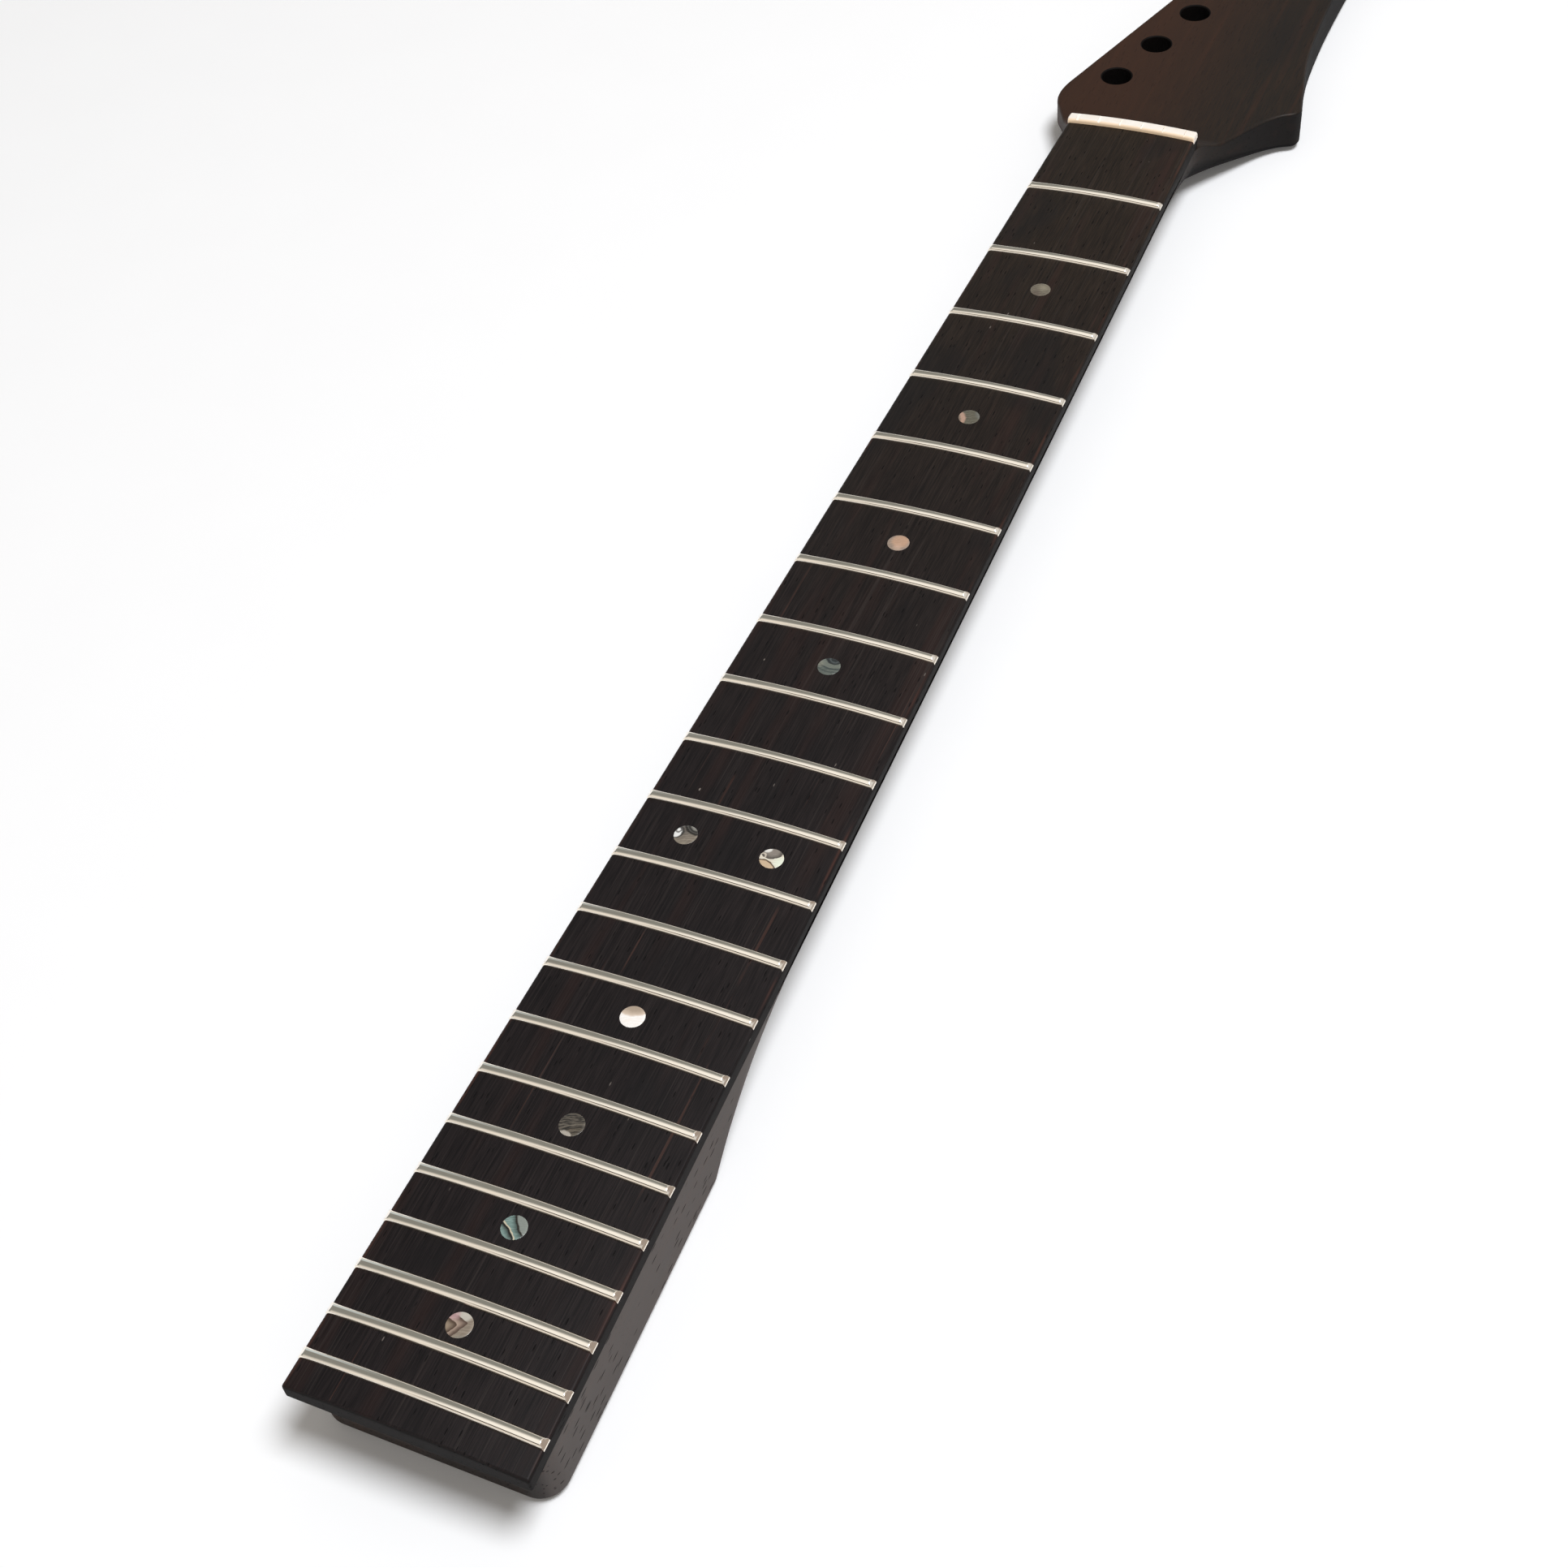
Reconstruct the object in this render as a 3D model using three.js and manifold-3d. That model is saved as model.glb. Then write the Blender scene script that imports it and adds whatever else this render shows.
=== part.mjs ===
// An electric guitar neck in dark open-pored hardwood: a square heel, a slim shaft and a flat headstock for
// six tuners in one line, with a glued fingerboard, its frets and shell markers, a nut, and a two-way truss
// rod that is turned at the heel.
// Sizes are in millimetres. +Y runs along the neck from the heel to the headstock, +X is the treble side and
// +Z the playing side. The origin is the centre of the heel's flat back. A station is a distance along Y.

import * as THREE from 'three';
import { mergeVertices, toCreasedNormals } from 'three/addons/utils/BufferGeometryUtils.js';
import Module from 'manifold-3d';

// Strings and frets
const scaleLength = 648;
const fretsPerOctave = 12;
const fretCount = 22;
const crownWidth = 2.7;
const crownHeight = 1.25;
const crownEndHeight = 0.15;
const fretBevelLength = 1.1;
const tangWidth = 0.55;
const tangDepth = 1.8;
const stringGauges = [1.2, 0.95, 0.7, 0.45, 0.35, 0.3];

// Fingerboard
const nutWidth = 42;
const lastFretWidth = 57.5;
const boardRadius = 305;
const boardThickness = 5.3;
const boardPastLastFret = 8.2;
const boardPastHeel = 4.6;
const boardCornerRadius = 0.6;

// Nut
const nutThickness = 4.6;
const nutProud = 1.5;
const nutSeatDepth = 1.8;
const nutRoundShare = 0.4;
const stringSlotDepth = 0.7;
const outerStringInset = 3.3;

// Round markers, at these frets; the octave has a pair
const markerFrets = [3, 5, 7, 9, 12, 15, 17, 19, 21];
const markerDiameter = 6;
const markerDepth = 1.8;
const pairSpacing = 22.8;
const sideMarkerDiameter = 2.2;
const sideMarkerDepth = 2.5;
const sidePairSpacing = 7;

// Heel and shaft
const heelLength = 82;
const heelThickness = 24.5;
const heelCornerRadius = 6.5;
const heelEdgeRadius = 2.2;
const heelSweepLength = 64;
const heelSweepPower = 2.5;
const thicknessAtFirstFret = 20.5;
const thicknessAtTwelfthFret = 22;
const backFlatWidth = 5;
const sideDepth = 1.8;

// Headstock, from the nut's front face
const headstockLength = 184;
const headstockDrop = 8.5;
const headstockThickness = 13.5;
const headstockEdgeRadius = 2;
const rampLength = 9;
const neckSweepBefore = 25;
const neckSweepAfter = 42;
const hornReach = 46;
const hornStation = 37.5;
const hornCornerRadius = 3;
const tipWidth = 16;
const tipRise = 8;
const tipTrebleRise = 18;

// Tuner holes
const tunerCount = 6;
const tunerHoleDiameter = 10;
const tunerSpacing = 23.3;
const firstTunerX = -17.8;
const firstTunerStation = 42;
const tunerLineAngle = 17.2;
const tunerToEdge = 11.7;

// Two-way truss rod
const rodDiameter = 4.8;
const rodBlockWidth = 6;
const rodBlockHeight = 6.4;
const rodBlockLength = 12;
const rodBarThickness = 3;
const rodPastBlock = 2;
const adjusterDiameter = 8;
const adjusterLength = 12;
const adjusterRecess = 6;
const adjusterGap = 1;
const adjusterClearance = 0.5;
const socketAcrossFlats = 5;
const socketDepth = 6;
const rodRunningClearance = 0.07;
const channelPastRod = 1;
const channelEndBeforeNut = 8;

// Clearance of glued and pressed pieces, how far a cut runs past the wood, counts of facets, and the angle
// in degrees from which an edge is crisp
const fit = 0.05;
const overrun = 2;
const boardFacets = 8;
const cornerFacets = 7;
const crownFacets = 6;
const roundFacets = 24;
const markerFacets = 20;
const sideMarkerFacets = 10;
const hexagonSides = 6;
const outlineSamples = 24;
const creaseAngle = 30;

// Outline of the headstock, as shares. Across, a share runs from the nut's end to the reach of the horn or of
// the bass corner; along, it runs from the nut to their station.
const hornFlareShares = [[0.03, 0.11], [0.33, 0.45], [0.6, 0.745], [0.79, 0.885], [0.9, 0.93]];
const bassFlareShares = [[0.09, 0.13], [0.31, 0.36], [0.52, 0.56], [0.77, 0.8]];
// Along the treble side the shares are of the horn's reach and of the headstock's length.
const waistShares = [[0.942, 0.283], [0.896, 0.337], [0.866, 0.391], [0.848, 0.462], [0.84, 0.56],
  [0.852, 0.707], [0.883, 0.815]];
const bassCornerStationShare = 0.147;
const bassCornerEndShare = 0.195;
const tipTrebleShare = 0.913;

// Places that follow from the sizes
const heelEndY = -heelLength / 2;
const heelFrontY = heelLength / 2;
const boardEndY = heelEndY - boardPastHeel;
const lastFretY = boardEndY + boardPastLastFret;
const fretDistance = (n) => scaleLength * (1 - 2 ** (-n / fretsPerOctave));
const nutY = lastFretY + fretDistance(fretCount);
const fretY = (n) => nutY - fretDistance(n);
const nutBackY = nutY + nutThickness;
const tipY = nutY + headstockLength;
const crownZ = heelThickness;
const glueZ = crownZ - boardThickness;
const nutSeatZ = crownZ - nutSeatDepth;
const faceZ = crownZ - headstockDrop;
const headstockBackZ = faceZ - headstockThickness;
const degree = Math.PI / 180;
const tunerSlope = Math.tan(tunerLineAngle * degree);

const wasm = await Module();
wasm.setup();

const mix = (a, b, share) => a + (b - a) * share;
const clamped = (share) => Math.min(1, Math.max(0, share));
const smooth = (share) => share * share * (3 - 2 * share);

// Evenly spaced values from one end to the other, both included.
function span(from, to, steps) {
  return Array.from({ length: steps + 1 }, (_, k) => mix(from, to, k / steps));
}

// How far a rounded corner of this radius draws in, at a distance from the corner's end.
function cornerInset(distance, radius) {
  if (distance >= radius) return 0;
  const toCentre = radius - distance;
  return radius - Math.sqrt(Math.max(0, radius * radius - toCentre * toCentre));
}

// Stations round such a corner, closer together where it turns faster.
function cornerStations(start, radius, steps) {
  return span(0, Math.PI / 2, steps).map((angle) => start + radius * (1 - Math.cos(angle)));
}

// Stations in order along the neck, without those that nearly fall together.
function inOrder(stations) {
  const sorted = stations.sort((a, b) => a - b);
  return sorted.filter((y, k) => k === 0 || y - sorted[k - 1] > fit);
}

// Half of the board's width, which tapers from the last fret to the nut.
function halfWidthAt(y) {
  const growth = (lastFretWidth - nutWidth) / fretDistance(fretCount);
  return (nutWidth + growth * (nutY - y)) / 2;
}

// How far the board's crown falls away, at a distance from the centre line.
const crownDrop = (x) => boardRadius - Math.sqrt(boardRadius * boardRadius - x * x);

// Overall thickness of the shaft, from the crown to the back.
function shaftThickness(y) {
  const growth = (thicknessAtTwelfthFret - thicknessAtFirstFret) / (fretY(1) - fretY(fretsPerOctave));
  return thicknessAtFirstFret + growth * (fretY(1) - y);
}

// 0 on the heel, 1 on the shaft.
const shaftShare = (y) => 1 - (1 - clamped((y - heelFrontY) / heelSweepLength)) ** heelSweepPower;

// 0 on the shaft, 1 on the headstock.
function headstockShare(y) {
  return smooth(clamped((y - nutY + neckSweepBefore) / (neckSweepBefore + neckSweepAfter)));
}

// Height of the neck's back, with the edge across the heel's end rounded over.
function backZAt(y) {
  const heelBack = cornerInset(y - heelEndY, heelEdgeRadius);
  const shaftBack = mix(heelBack, crownZ - shaftThickness(y), shaftShare(y));
  return mix(shaftBack, headstockBackZ, headstockShare(y));
}

// The back's side corners are quarter ellipses: small on the heel and the headstock, and nearly the whole
// half section on the shaft.
function backCorner(y, halfWidth) {
  const depth = crownZ - backZAt(y);
  const across = mix(heelEdgeRadius, halfWidth - backFlatWidth / 2, shaftShare(y));
  const upward = mix(heelEdgeRadius, depth - sideDepth, shaftShare(y));
  return {
    across: mix(across, headstockEdgeRadius, headstockShare(y)),
    upward: mix(upward, headstockEdgeRadius, headstockShare(y)),
  };
}

// Distance of the neck's side from the centre line, at a height on the section of this half width.
function sideAt(y, halfWidth, z) {
  const corner = backCorner(y, halfWidth);
  const below = (backZAt(y) + corner.upward - z) / corner.upward;
  if (below <= 0) return halfWidth;
  return halfWidth - corner.across * (1 - Math.sqrt(Math.max(0, 1 - below * below)));
}

// The straight bass edge of the headstock, parallel to the line of the tuners.
function bassEdgeX(station) {
  const alongLine = firstTunerX + (station - firstTunerStation) * tunerSlope;
  return alongLine - tunerToEdge / Math.cos(tunerLineAngle * degree);
}

// Points of a flare, from shares between the nut's end and a reach, and between the nut and a station.
function flarePoints(shares, side, reach, station) {
  return shares.map(([across, along]) => {
    return new THREE.Vector2(side * mix(nutWidth / 2, reach, across), station * along);
  });
}

// Treble edge of the headstock: a flare, the horn's corner, a long hollow waist and the tip.
function trebleOutline() {
  const waist = waistShares.map(([across, along]) => {
    return new THREE.Vector2(hornReach * across, headstockLength * along);
  });
  const flare = flarePoints(hornFlareShares, 1, hornReach, hornStation);
  const cornerStart = hornStation - hornCornerRadius / 2;
  const cornerEnd = hornStation + hornCornerRadius / 2;
  const path = new THREE.Path();
  path.moveTo(nutWidth / 2, 0);
  path.splineThru(flare);
  path.quadraticCurveTo(hornReach, cornerStart, hornReach, cornerEnd);
  path.splineThru(waist);
  const tipX = bassEdgeX(headstockLength - tipRise) + tipRise + tipWidth;
  const shoulder = new THREE.Vector2(hornReach * tipTrebleShare, headstockLength - tipTrebleRise);
  path.splineThru([shoulder]);
  path.quadraticCurveTo(shoulder.x, headstockLength, tipX, headstockLength);
  return path.getPoints(outlineSamples);
}

// Bass edge: a flare, a rounded corner, the straight edge beside the tuners and the tip.
function bassOutline() {
  const cornerStation = headstockLength * bassCornerStationShare;
  const straightStart = headstockLength * bassCornerEndShare;
  const straightEnd = headstockLength - tipRise;
  const path = new THREE.Path();
  path.moveTo(-nutWidth / 2, 0);
  path.splineThru(flarePoints(bassFlareShares, -1, -bassEdgeX(cornerStation), cornerStation));
  path.quadraticCurveTo(bassEdgeX(cornerStation), cornerStation, bassEdgeX(straightStart), straightStart);
  path.lineTo(bassEdgeX(straightEnd), straightEnd);
  const tipX = bassEdgeX(straightEnd) + tipRise;
  path.quadraticCurveTo(bassEdgeX(headstockLength - tipRise / 2), headstockLength, tipX, headstockLength);
  return path.getPoints(outlineSamples);
}

// Where an outline lies at a station.
function outlineX(points, station) {
  const next = points.findIndex((point) => point.y > station);
  if (next < 1) return next < 0 ? points.at(-1).x : points[0].x;
  const [a, b] = [points[next - 1], points[next]];
  return mix(a.x, b.x, (station - a.y) / (b.y - a.y));
}

const trebleEdge = trebleOutline();
const bassEdge = bassOutline();

// Half widths of the neck on the bass and the treble side.
function neckHalfWidths(y) {
  if (y > nutY) return [-outlineX(bassEdge, y - nutY), outlineX(trebleEdge, y - nutY)];
  const half = halfWidthAt(y) - cornerInset(y - heelEndY, heelCornerRadius);
  return [half, half];
}

// Height of the neck's top: the glue joint as far as the nut's back, a short ramp and the headstock's face.
const neckTopZAt = (y) => mix(glueZ, faceZ, smooth(clamped((y - nutBackY) / rampLength)));

// A closed solid through rings of points, all with as many points and drawn the same way round.
// The rings are flat across the axis, and follow it upwards.
function loft(rings, axis) {
  const flat = {
    x: (point) => new THREE.Vector2(point.y, point.z),
    y: (point) => new THREE.Vector2(point.z, point.x),
  }[axis];
  const count = rings[0].length;
  const positions = rings.flat().flatMap((point) => point.toArray());
  const index = [];
  for (let r = 0; r + 1 < rings.length; r += 1) {
    for (let k = 0; k < count; k += 1) {
      const a = r * count + k;
      const b = r * count + ((k + 1) % count);
      index.push(a, b, a + count, b, b + count, a + count);
    }
  }
  const ends = [
    { ring: rings[0], first: 0, turn: -1 },
    { ring: rings.at(-1), first: (rings.length - 1) * count, turn: 1 },
  ];
  for (const { ring, first, turn } of ends) {
    const contour = ring.map(flat);
    const wanted = turn * Math.sign(THREE.ShapeUtils.area(contour));
    for (const [a, b, c] of THREE.ShapeUtils.triangulateShape(contour, [])) {
      const found = Math.sign(THREE.ShapeUtils.area([contour[a], contour[b], contour[c]]));
      const corners = found === wanted ? [a, b, c] : [a, c, b];
      index.push(...corners.map((corner) => corner + first));
    }
  }
  const outwards = THREE.ShapeUtils.area(rings[0].map(flat)) > 0;
  const geometry = new THREE.BufferGeometry();
  geometry.setAttribute('position', new THREE.Float32BufferAttribute(positions, 3));
  geometry.setIndex(outwards ? index : index.reverse());
  return geometry;
}

// A geometry as a solid that can be joined and cut.
function solidOf(geometry) {
  const bare = geometry.clone();
  bare.deleteAttribute('normal');
  bare.deleteAttribute('uv');
  const merged = mergeVertices(bare);
  return new wasm.Manifold(new wasm.Mesh({
    numProp: 3,
    vertProperties: merged.attributes.position.array,
    triVerts: new Uint32Array(merged.index.array),
  }));
}

// A cut solid as a geometry with crisp edges.
function geometryOf(solid) {
  const mesh = solid.getMesh();
  const geometry = new THREE.BufferGeometry();
  geometry.setAttribute('position', new THREE.BufferAttribute(mesh.vertProperties, 3));
  geometry.setIndex(new THREE.BufferAttribute(mesh.triVerts, 1));
  return toCreasedNormals(geometry, creaseAngle * degree);
}

const without = (solid, cuts) => cuts.reduce((rest, cut) => rest.subtract(solidOf(cut)), solid);

// A box between two corners.
function block(from, to) {
  const size = to.map((value, k) => value - from[k]);
  const centre = to.map((value, k) => (value + from[k]) / 2);
  return new THREE.BoxGeometry(...size).translate(...centre);
}

// A cylinder along Y on the centre line, between two stations.
function rodAlong(radius, fromY, toY, z, facets) {
  const rod = new THREE.CylinderGeometry(radius, radius, toY - fromY, facets);
  return rod.translate(0, (fromY + toY) / 2, z);
}

// The section of the neck's wood at a station, down one side, across the back and up the other side.
function neckRing(y) {
  const topZ = neckTopZAt(y);
  const side = (sign, halfWidth) => {
    const corner = backCorner(y, halfWidth);
    const cornerZ = backZAt(y) + corner.upward;
    const firstAngle = cornerZ > topZ ? Math.asin((cornerZ - topZ) / corner.upward) : 0;
    const points = [new THREE.Vector3(sign * sideAt(y, halfWidth, topZ), y, topZ)];
    for (const angle of span(firstAngle, Math.PI / 2, cornerFacets).slice(1)) {
      const x = halfWidth - corner.across * (1 - Math.cos(angle));
      points.push(new THREE.Vector3(sign * x, y, cornerZ - corner.upward * Math.sin(angle)));
    }
    return points;
  };
  const [bass, treble] = neckHalfWidths(y);
  return [...side(-1, bass), ...side(1, treble).reverse()];
}

// Stations of the neck's sections, closer together where its shape turns.
function neckStations() {
  const lastTurn = tipY - tipTrebleRise;
  return inOrder([
    ...cornerStations(heelEndY, heelEdgeRadius, 4),
    ...cornerStations(heelEndY, heelCornerRadius, 5),
    ...span(heelEndY + heelCornerRadius, heelFrontY, 2),
    ...span(heelFrontY, heelFrontY + heelSweepLength, 9),
    ...span(heelFrontY + heelSweepLength, nutY - neckSweepBefore, 6),
    ...span(nutY - neckSweepBefore, nutY, 7),
    ...span(nutY, nutBackY, 1),
    ...span(nutBackY, nutBackY + rampLength, 4),
    ...span(nutBackY + rampLength, nutY + hornStation - rampLength, 4),
    ...span(nutY + hornStation - rampLength, nutY + hornStation + rampLength / 2, 12),
    ...span(nutY + hornStation + rampLength / 2, lastTurn, 10),
    ...cornerStations(-tipY, tipTrebleRise, 7).map((station) => -station),
  ]);
}

// Where the truss rod's pieces lie, from the heel's end towards the nut.
const adjusterOuterY = heelEndY + adjusterRecess;
const adjusterInnerY = adjusterOuterY + adjusterLength;
const heelBlockY = adjusterInnerY + adjusterGap;
const channelEndY = nutY - channelEndBeforeNut;
const rodEndY = channelEndY - channelPastRod;
const nutBlockY = rodEndY - rodPastBlock - rodBlockLength;
const barTopZ = glueZ - fit;
const barBottomZ = barTopZ - rodBarThickness;
const blockTopZ = barBottomZ - fit;
const blockBottomZ = blockTopZ - rodBlockHeight;
const rodAxisZ = (blockTopZ + blockBottomZ) / 2;
const channelBottomZ = blockBottomZ - fit;
const channelHalfWidth = rodBlockWidth / 2 + fit;

// The channel for the truss rod, and a wider round-bottomed one round its adjusting nut.
function rodChannels() {
  const pocketRadius = adjusterDiameter / 2 + adjusterClearance;
  const pocketStartY = heelEndY - overrun;
  const pocketEndY = adjusterInnerY + adjusterGap / 2;
  const openZ = glueZ + overrun;
  return [
    block([-channelHalfWidth, adjusterInnerY, channelBottomZ], [channelHalfWidth, channelEndY, openZ]),
    rodAlong(pocketRadius, pocketStartY, pocketEndY, rodAxisZ, roundFacets),
    block([-pocketRadius, pocketStartY, rodAxisZ], [pocketRadius, pocketEndY, openZ]),
  ];
}

// The six holes for the tuners, in a line that leans towards the treble side.
function tunerHoles() {
  return span(0, tunerCount - 1, tunerCount - 1).map((k) => {
    const along = k * tunerSpacing;
    const x = firstTunerX + along * Math.sin(tunerLineAngle * degree);
    const y = nutY + firstTunerStation + along * Math.cos(tunerLineAngle * degree);
    const depth = headstockThickness + 2 * overrun;
    const hole = new THREE.CylinderGeometry(tunerHoleDiameter / 2, tunerHoleDiameter / 2, depth, roundFacets);
    return hole.rotateX(Math.PI / 2).translate(x, y, (faceZ + headstockBackZ) / 2);
  });
}

function neckGeometry() {
  const wood = solidOf(loft(neckStations().map(neckRing), 'y'));
  return geometryOf(without(wood, [...rodChannels(), ...tunerHoles()]));
}

// The board's section at a station: flat below, with the shaft's sides carried on, and crowned above.
function boardRing(y) {
  const full = halfWidthAt(y);
  const half = full - cornerInset(y - boardEndY, boardCornerRadius);
  const edgeZ = crownZ - crownDrop(full);
  const sideHeights = [glueZ, (glueZ + edgeZ) / 2];
  const side = sideHeights.map((z) => [half - full + sideAt(y, full, z), z]);
  const crown = span(-half, half, boardFacets).map((x) => new THREE.Vector3(x, y, crownZ - crownDrop(x)));
  return [
    ...side.map(([x, z]) => new THREE.Vector3(-x, y, z)),
    ...crown,
    ...side.reverse().map(([x, z]) => new THREE.Vector3(x, y, z)),
  ];
}

// A solid swept across the board over its crown. The section at a place across is a list of points, each a
// distance along Y and a height over the crown.
function acrossBoard(y, places, sectionAt) {
  const rings = places.map((x) => {
    return sectionAt(x).map(([along, rise]) => new THREE.Vector3(x, y + along, crownZ - crownDrop(x) + rise));
  });
  return loft(rings, 'x');
}

// Places across the board that match its facets.
function placesAcross(halfWidth) {
  return span(-halfWidth, halfWidth, boardFacets);
}

// A fret's section: a half-round crown on the board, and a tang below it.
function fretSection(height) {
  const crown = span(Math.PI, 0, crownFacets).map((angle) => {
    return [Math.cos(angle) * crownWidth / 2, fit + height * Math.sin(angle)];
  });
  const wide = tangWidth / 2;
  const tang = [[wide, fit], [wide, -tangDepth], [-wide, -tangDepth], [-wide, fit]];
  return [...crown, ...tang];
}

// A fret: its crown falls away over a short bevel at each end.
function fretGeometry(n) {
  const half = halfWidthAt(fretY(n));
  const bevelStart = half - fretBevelLength;
  const places = [-half, ...placesAcross(bevelStart), half];
  const heightAt = (x) => (Math.abs(x) > bevelStart + fit ? crownEndHeight : crownHeight);
  return acrossBoard(fretY(n), places, (x) => fretSection(heightAt(x)));
}

// The slot of a fret, open at both edges of the board.
function fretSlot(n) {
  const half = halfWidthAt(fretY(n)) + overrun;
  const wide = tangWidth / 2 + fit;
  const section = [[-wide, -tangDepth - fit], [wide, -tangDepth - fit], [wide, overrun], [-wide, overrun]];
  return acrossBoard(fretY(n), placesAcross(half), () => section);
}

// Each marker's fret space, with its place across the board: one on the centre line, or a pair at the octave.
const markerSpaces = markerFrets.flatMap((n) => {
  const offsets = n % fretsPerOctave === 0 ? [-1, 1] : [0];
  return offsets.map((side) => ({ fret: n, side, y: (fretY(n) + fretY(n - 1)) / 2 }));
});

// A round marker's plug, square to the crown where it lies; a pocket is a little wider and deeper.
function markerPlug({ side, y }, spare, above) {
  const x = side * pairSpacing / 2;
  const radius = markerDiameter / 2 + spare;
  const height = markerDepth + spare + above;
  const plug = new THREE.CylinderGeometry(radius, radius, height, markerFacets);
  plug.rotateX(Math.PI / 2).translate(0, 0, (above - markerDepth - spare) / 2);
  return plug.rotateY(Math.asin(x / boardRadius)).translate(x, y, crownZ - crownDrop(x));
}

// A side marker's plug in the bass edge of the board.
function sideMarkerPlug({ side, y }, spare, above) {
  const radius = sideMarkerDiameter / 2 + spare;
  const length = sideMarkerDepth + spare + above;
  const along = y + side * sidePairSpacing / 2;
  const z = glueZ + (boardThickness - crownDrop(halfWidthAt(along))) / 2;
  const edge = sideAt(along, halfWidthAt(along), z);
  const plug = new THREE.CylinderGeometry(radius, radius, length, sideMarkerFacets);
  return plug.rotateZ(Math.PI / 2).translate(-edge + (sideMarkerDepth + spare - above) / 2, along, z);
}

function boardGeometry() {
  const sweepEndY = heelFrontY + heelSweepLength;
  const stations = inOrder([
    ...cornerStations(boardEndY, boardCornerRadius, 3),
    heelEndY,
    ...span(heelFrontY, sweepEndY, 6),
    ...span(sweepEndY, nutY, 8),
    nutBackY,
  ]);
  const wood = solidOf(loft(stations.map(boardRing), 'y'));
  const frets = span(1, fretCount, fretCount - 1);
  const seatEnds = nutWidth / 2 + overrun;
  return geometryOf(without(wood, [
    block([-seatEnds, nutY, nutSeatZ], [seatEnds, nutBackY + overrun, crownZ + overrun]),
    ...frets.map(fretSlot),
    ...markerSpaces.map((space) => markerPlug(space, fit, overrun)),
    ...markerSpaces.map((space) => sideMarkerPlug(space, fit, overrun)),
  ]));
}

// The nut stands on its seat in the end of the board, with its top rounded over and a shallow slot for each
// string.
function nutGeometry() {
  const half = nutWidth / 2;
  const round = nutThickness * nutRoundShare;
  const rounded = span(0, Math.PI / 2, 3);
  const boardSide = rounded.map((angle) => {
    return [fit + round * (1 - Math.cos(angle)) / 2, nutProud - round * (1 - Math.sin(angle)) / 2];
  });
  const headstockSide = rounded.map((angle) => {
    return [nutThickness - round * (1 - Math.sin(angle)), nutProud - round * (1 - Math.cos(angle))];
  });
  const section = (x) => {
    const bottom = crownDrop(x) - nutSeatDepth + fit;
    return [[fit, bottom], ...boardSide, ...headstockSide, [nutThickness, bottom]];
  };
  const body = solidOf(acrossBoard(nutY, placesAcross(half), section));
  const slots = stringGauges.map((gauge, k) => {
    const x = mix(-half + outerStringInset, half - outerStringInset, k / (stringGauges.length - 1));
    const bottom = crownZ - crownDrop(x) + nutProud - stringSlotDepth;
    const top = crownZ + nutProud + overrun;
    return block([x - gauge / 2, nutY - overrun, bottom], [x + gauge / 2, nutBackY + overrun, top]);
  });
  return geometryOf(without(body, slots));
}

// A brass block of the truss rod, with the rod's bore. Facets are inside the round, so the bore is opened
// until its flats clear the rod.
function rodBlockGeometry(fromY) {
  const half = rodBlockWidth / 2;
  const bore = (rodDiameter / 2 + rodRunningClearance) / Math.cos(Math.PI / roundFacets);
  const body = solidOf(block([-half, fromY, blockBottomZ], [half, fromY + rodBlockLength, blockTopZ]));
  const hole = rodAlong(bore, fromY - overrun, fromY + rodBlockLength + overrun, rodAxisZ, roundFacets);
  return geometryOf(without(body, [hole]));
}

// The adjusting nut: a round steel barrel with a hexagon socket towards the heel's end.
function adjusterGeometry() {
  const barrel = rodAlong(adjusterDiameter / 2, adjusterOuterY, adjusterInnerY, rodAxisZ, roundFacets);
  const corner = socketAcrossFlats / 2 / Math.cos(Math.PI / hexagonSides);
  const socketEndY = adjusterOuterY + socketDepth;
  const socket = rodAlong(corner, adjusterOuterY - overrun, socketEndY, rodAxisZ, hexagonSides);
  return geometryOf(without(solidOf(barrel), [socket]));
}

const darkWood = new THREE.MeshStandardMaterial({ color: 0x3a2d27, roughness: 0.55, metalness: 0 });
const boardWood = new THREE.MeshStandardMaterial({ color: 0x231d1c, roughness: 0.5, metalness: 0 });
const nickelSilver = new THREE.MeshStandardMaterial({ color: 0xc9c2b6, roughness: 0.28, metalness: 1 });
const bone = new THREE.MeshStandardMaterial({ color: 0xefe2cd, roughness: 0.45, metalness: 0 });
const shell = new THREE.MeshStandardMaterial({ color: 0xb9b4a8, roughness: 0.25, metalness: 0 });
const steel = new THREE.MeshStandardMaterial({ color: 0x8a8c90, roughness: 0.4, metalness: 1 });
const blackSteel = new THREE.MeshStandardMaterial({ color: 0x2b2b2d, roughness: 0.45, metalness: 1 });
const brass = new THREE.MeshStandardMaterial({ color: 0xb99a54, roughness: 0.4, metalness: 1 });

const guitarNeck = new THREE.Group();

function addPiece(name, geometry, material) {
  const mesh = new THREE.Mesh(geometry, material);
  mesh.name = name;
  guitarNeck.add(mesh);
}

const numbered = (n) => String(n).padStart(2, '0');
const markerSuffix = ({ side }) => ({ '-1': '_bass', 0: '', 1: '_treble' })[side];

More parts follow.
